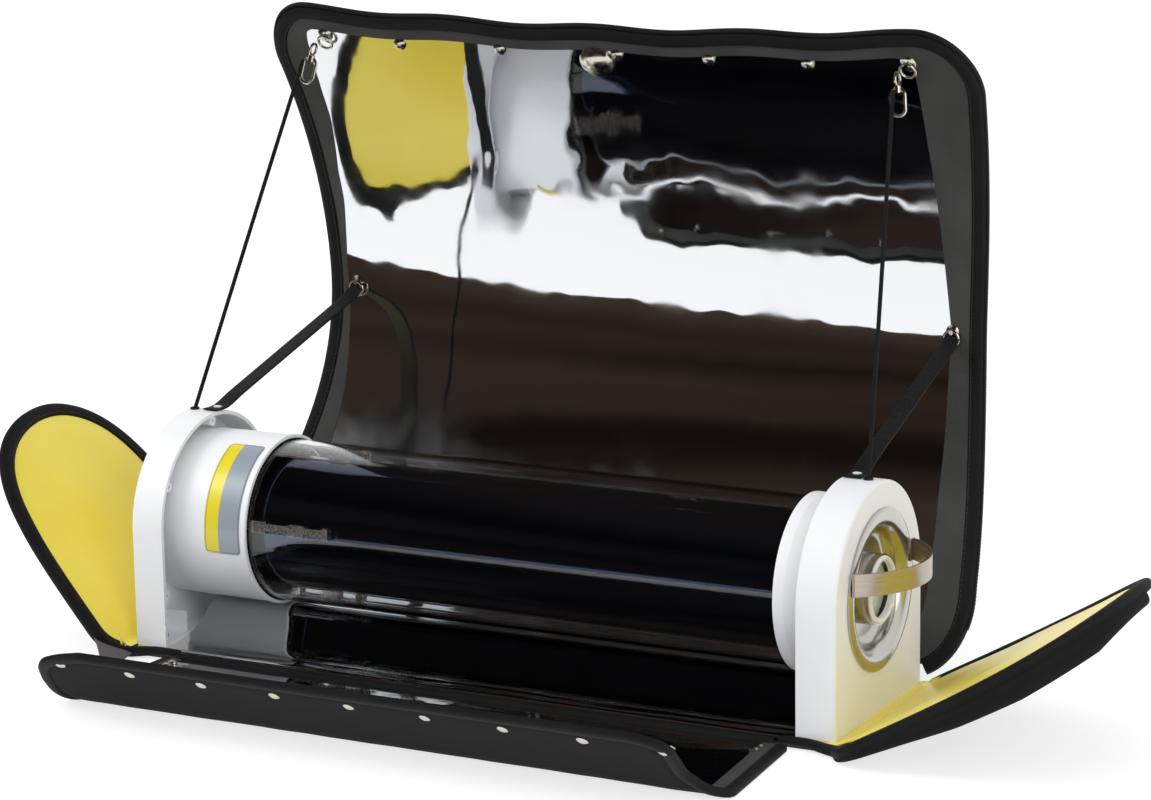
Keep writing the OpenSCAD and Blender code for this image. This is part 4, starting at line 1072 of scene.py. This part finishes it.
# ---- fabric hinges
# Where a wing leaves the base its yellow lining runs on over the hinge, a black tape closes
# the front corner, and a gusset of grey cloth joins the left wing to the flap.
def hinge_strip(name, profile, low_y, high_y):
    """A strip of lining over a hinge: profile is its (x, z) places from the base outwards."""
    profile = resampled(profile, 12)
    along = run_lengths(profile)
    run = unit(np.gradient(profile, axis=0))
    side = np.sign(profile[-1, 0])

    def place(u, v, w):
        u, v, w = np.broadcast_arrays(u, v, w)
        spot = [np.interp(u, along, profile[:, k]) for k in (0, 1)]
        head = [np.interp(u, along, run[:, k]) for k in (0, 1)]
        return np.stack([spot[0] - side * w * head[1], v, spot[1] + side * w * head[0]], -1)
    u, v = np.meshgrid(along, np.linspace(low_y, high_y, 60), indexing="ij")
    sag = 0.35 * ripple(u * 3, v, 60, 81)
    strip = shell(name, u, v, 0.3 + sag, -0.3 + sag, place, lining_cloth)
    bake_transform(strip)


left_root, right_root = on_wing("left")(14.0, 0.0, 3.4), on_wing("right")(14.0, 0.0, 3.4)
hinge_strip("left_hinge_strip",
            [(-294.9, 8.6), (-297, 9.2), (-299.5, 10.2), (-302, 12.0), (left_root[0], left_root[2])],
            -88, 80)
hinge_strip("right_hinge_strip",
            [(299.0, 9.2), (301.5, 9.9), (304.5, 11.5), (right_root[0], right_root[2])],
            -86, 80)
hinge_strip("right_base_strip", [(290.0, 8.1), (294.9, 8.3), (297.5, 8.8), (300.6, 9.3)],
            -86, 80)


def corner_tape(name, knots, widths, bodies=None):
    """The binding tape carried on round a front corner."""
    path = resampled(knots, 50)
    for _ in range(12):
        path[1:-1] = (path[:-2] + 2 * path[1:-1] + path[2:]) / 4
    size = np.linspace(0, 1, 50)[:, None] * (np.array(widths[1]) - widths[0]) + widths[0]
    section = np.stack([rounded_section(w, h, 16, 2.8) for w, h in size])
    tape = swept(name, path, (0, 0, 1), section, binding_tape)
    if bodies:
        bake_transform(tape)
    else:
        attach(tape, "base")


def corner_tapes():
    left = [(-252, -82.4, 6.5), (-264, -82.4, 6.5), (-275, -82.6, 6.2), (-286, -85.5, 5.4),
            (-294, -88.5, 5),
            (-300, -94, 6.5)]
    corner_tape("left_corner_tape", left[:5], ((2.6, 2.6), (4.2, 4.0)))
    corner_tape("left_wing_corner_tape", left[4:] + [(-306, -100.5, 12.2), (-312.5, -105, 19.8)],
                ((4.2, 4.0), (6.2, 4.3)), ("base", "left_wing"))
    tip = on_wing("right")(22.0, -104.0, 0.0)
    corner_tape("right_corner_tape",
                [(252, -82.4, 6.5), (264, -82.4, 6.5), (275, -82.6, 6.2), (286, -85.5, 5.4),
                                     (298, -88.5, 5)], ((2.6, 2.6), (4.2, 4.0)))
    corner_tape("right_wing_corner_tape", [(298, -88.5, 5), (302, -92, 6), (308, -98, 9), tuple(tip)],
                ((4.2, 4.0), (6.2, 4.3)), ("right_wing_root", "right_wing"))


corner_tapes()


def gusset():
    """Grey lining cloth cut to a triangle, its free edge slack."""
    cloth = woven("thin_grey_gusset_cloth", "#5f5a5c", 1.0, 0.7, 0.08, Specular_IOR_Level=0.3)
    root, high, front = (np.array(p, float) for p in ((-292, -88, 5), (-315.7, -108, 22), (-272, -182, 3)))
    rows, cols = 24, 24
    points = []
    for s in np.linspace(0.02, 1, rows):
        a, b = root + (high - root) * s, root + (front - root) * s
        t = np.linspace(0, 1, cols)[:, None]
        line = a + (b - a) * t
        slack = (4 * t * (1 - t)) * s
        points.append(line + slack * (root - line) * 0.22 - slack * np.array([0, 0, 0.05]) * 40)
    points = np.array(points)
    points[..., 2] = np.maximum(points[..., 2], 1.2)
    faces = [(i * cols + j, (i + 1) * cols + j, (i + 1) * cols + j + 1, i * cols + j + 1)
             for i in range(rows - 1) for j in range(cols - 1)]
    steps = np.linalg.norm(np.diff(points, axis=0), axis=2).mean(1)
    across = np.concatenate([np.zeros((rows, 1)),
                             np.cumsum(np.linalg.norm(np.diff(points, axis=1), axis=2), axis=1)], 1)
    down = np.broadcast_to(np.concatenate([[0], np.cumsum(steps)])[:, None], across.shape)
    flat = np.stack([across, down, np.zeros(across.shape)], -1)
    web = new_piece("left_gusset", points.reshape(-1, 3), faces, cloth, flat.reshape(-1, 3))
    skin = web.modifiers.new("thickness", "SOLIDIFY")
    skin.thickness, skin.offset = 0.0006, 0
    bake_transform(web)


gusset()


# ---- webbing straps
# Flat polypropylene straps, 14 mm wide, tie the middle of the back panel's sides to the
# tops of the brackets.
webbing = woven("polypropylene_webbing", "#121213", 1.4, 0.65, 0.25, worn=0.35, Specular_IOR_Level=0.25)


def strap(side):
    sign = -1 if side == "left" else 1
    foot_z = 98.7 + math.sqrt(80.4 ** 2 - 12 ** 2)
    foot = np.array([sign * 272.0, 12.0, foot_z + 1.2])
    head = np.array([sign * 264.0, float(np.interp(245, lid_z, lid_y)) - 9, 236.8])
    flat_tab = foot + np.array([0, -10.0, 1.0])
    knots = np.array([flat_tab, foot, foot + (0, 5.5, -0.4), foot + (head - foot) * 0.1,
                      foot + (head - foot) * 0.5,
                      head, head + (0, 5, 6)])
    path = resampled(knots, 60)
    for _ in range(6):
        path[1:-1] = (path[:-2] + 2 * path[1:-1] + path[2:]) / 4
    tape = swept(f"{side}_strap_webbing", path, (0, -0.35, 1), rounded_section(7, 0.8, 16, 5), webbing)
    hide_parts(f"strap_{side}")
    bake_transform(tape)


strap("left")
strap("right")


# ---- stitched seams
# Bonded polyester thread, 0.6 mm thick with stitches 3.6 mm apart, holds every binding tape on.
def stitches(name, line, place, w, body):
    row = toothed(name, line, place, w, thread, 3.6, (2.7, 0.75, 0.5))
    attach(row, body)


def sewing_thread():
    """Twisted thread: dull black, a little lighter than the tape it lies on."""
    made, tree, shader = finish_of("bonded_polyester_thread", "#2b2b2d", 0.55, Specular_IOR_Level=0.4)
    flat = add_node(tree, "Attribute", attribute_name="flat").outputs["Vector"]
    twist = add_node(tree, "TexNoise", {"Vector": flat, "Scale": 0.3, "Detail": 1.0})
    tint = add_node(tree, "Mix", {0: twist.outputs[0], 6: colour("#1d1d1f"), 7: colour("#39393b")},
                    data_type="RGBA")
    wire(tree, shader, Base_Color=tint.outputs[2])
    return made


thread = sewing_thread()


def seams():
    line = outline_loop(lid_edge(9.6, 9.6))
    line = resampled(line[line[:, 1] >= 18], 420)
    line[:, 1] = wavy(line[:, 0], line[:, 1])
    stitches("back_panel_stitches", line, on_lid, 4.2, "lid")
    stitches("front_flap_stitches", resampled(flap_outline(7.2, 6.0), 300), on_flap, 3.35, "front_flap")
    for side in wings:
        u, front, back = wing_edges(wings[side][2], 9.6, 60)
        line = np.concatenate([np.stack([u, front], -1), np.stack([u, back], -1)[::-1]])
        stitches(f"{side}_wing_stitches", resampled(line, 260), on_wing(side), 3.85, f"{side}_wing")


seams()


# ---- studio
# A plain pale floor, soft lamps at a plain level, and a dome in front of the cooker, out of the camera's
# sight, that glows dark brown with lighter streaks: a painted reflection that gives its mirrors and glass
# something dark to show.
def rays_that_see(tree):
    """1 for camera, glossy and transmission rays, 0 for the rest."""
    ray = add_node(tree, "LightPath")
    near = add_node(tree, "Math", {0: ray.outputs["Is Camera Ray"], 1: ray.outputs["Is Glossy Ray"]},
                    operation="MAXIMUM")
    return add_node(tree, "Math", {0: near.outputs[0], 1: ray.outputs["Is Transmission Ray"]},
                    operation="MAXIMUM").outputs[0]


def stage_piece(name, points, faces, finish):
    mesh = bpy.data.meshes.new(name)
    mesh.from_pydata(points, [], faces)
    mesh.materials.append(finish)
    made = bpy.data.objects.new(name, mesh)
    bpy.context.scene.collection.objects.link(made)
    made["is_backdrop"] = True
    return made


def pale_floor():
    paper, tree, shader = finish_of("pale_paper_floor", "#f4f4f4", 0.9, Specular_IOR_Level=0.1)
    lit = add_node(tree, "BsdfDiffuse", {0: (0.45, 0.45, 0.45, 1)})
    glow = add_node(tree, "Emission", {0: (1, 1, 1, 1), 1: 0.72})
    both = add_node(tree, "AddShader", {0: lit.outputs[0], 1: glow.outputs[0]})
    mixed = add_node(tree, "MixShader", {0: rays_that_see(tree), 1: shader.outputs[0], 2: both.outputs[0]})
    tree.links.new(mixed.outputs[0], tree.nodes["Material Output"].inputs[0])
    size = 14  # metres, far past what the camera sees
    stage_piece("floor", [(-size, -size, 0), (size, -size, 0), (size, size, 0), (-size, size, 0)],
                [(0, 1, 2, 3)], paper)


def glowing_reflection_dome():
    # Painted reflection: the dome glows dark brown with no lamp on it and is seen only by glossy and
    # transmission rays.
    cloth = bpy.data.materials.new("painted_reflection_dome")
    cloth.use_nodes = True
    tree = cloth.node_tree
    tree.nodes.clear()
    place = add_node(tree, "TexCoord").outputs["Object"]
    drawn = add_node(tree, "Mapping", {"Vector": place, "Scale": (0.25, 0.25, 2.2)})
    # painted reflection streaks: lighter and darker bands in the dome's glow
    painted_reflection_streaks = add_node(tree, "TexNoise", {"Vector": drawn.outputs[0], "Scale": 1.0, "Detail": 3.0})
    shade = add_node(tree, "MapRange", {0: painted_reflection_streaks.outputs[0], 1: 0.35, 2: 0.7})
    tint = add_node(tree, "Mix", {0: shade.outputs[0], 6: colour("#17110e"), 7: colour("#4d4037")},
                    data_type="RGBA")
    glow = add_node(tree, "Emission", {0: tint.outputs[2], 1: 1.0})
    add_node(tree, "OutputMaterial", {0: glow.outputs[0]})
    radius, turns, rises = 0.9, 72, 45  # metres, and the dome's cells round and up
    lons, lats = np.linspace(0, 2 * math.pi, turns, endpoint=False), np.radians(np.linspace(1, 88, rises))
    ways = np.array([(math.cos(a) * math.cos(b), math.sin(a) * math.cos(b),
                      math.sin(b)) for b in lats for a in lons])
    faces = []
    for i in range(rises - 1):
        for j in range(turns):
            corner = (i * turns + j, i * turns + (j + 1) % turns, (i + 1) * turns + (j + 1) % turns,
                      (i + 1) * turns + j)
            way = ways[list(corner)].mean(0)
            if (-way[1] > -0.25 or way[2] > 0.8) and way[0] < 0.6:
                faces.append(corner)
    made = stage_piece("glowing_reflection_dome", (ways * radius).tolist(), faces, cloth)
    made.visible_camera = made.visible_diffuse = made.visible_shadow = False


def studio():
    world = bpy.data.worlds.new("studio")
    world.use_nodes = True
    bpy.context.scene.world = world
    tree = world.node_tree
    light = tree.nodes["Background"]
    light.inputs[0].default_value, light.inputs[1].default_value = (1, 1, 1, 1), 0.72
    seen = add_node(tree, "Background", {0: (1, 1, 1, 1), 1: 1.0})
    mixed = add_node(tree, "MixShader", {0: rays_that_see(tree), 1: light.outputs[0], 2: seen.outputs[0]})
    tree.links.new(mixed.outputs[0], tree.nodes["World Output"].inputs[0])
    for name, spot, wide, power in (("key", (-2.6, -1.6, 2.4), 1.6, 50),
                                    ("fill", (2.4, -2.2, 1.6), 1.8, 24),
                                    ("top", (0.2, 0.3, 3.0), 2.2, 10)):
        lamp = bpy.data.lights.new(name, "AREA")
        lamp.size, lamp.energy = wide, power
        made = bpy.data.objects.new(name, lamp)
        made.location = spot
        made.rotation_euler = (Vector((0, 0, 0.15)) - Vector(spot)).to_track_quat("-Z", "Y").to_euler()
        bpy.context.scene.collection.objects.link(made)


pale_floor()
glowing_reflection_dome()
studio()


# ---- end
bpy.context.scene.view_settings.view_transform = "Standard"
low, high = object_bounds()
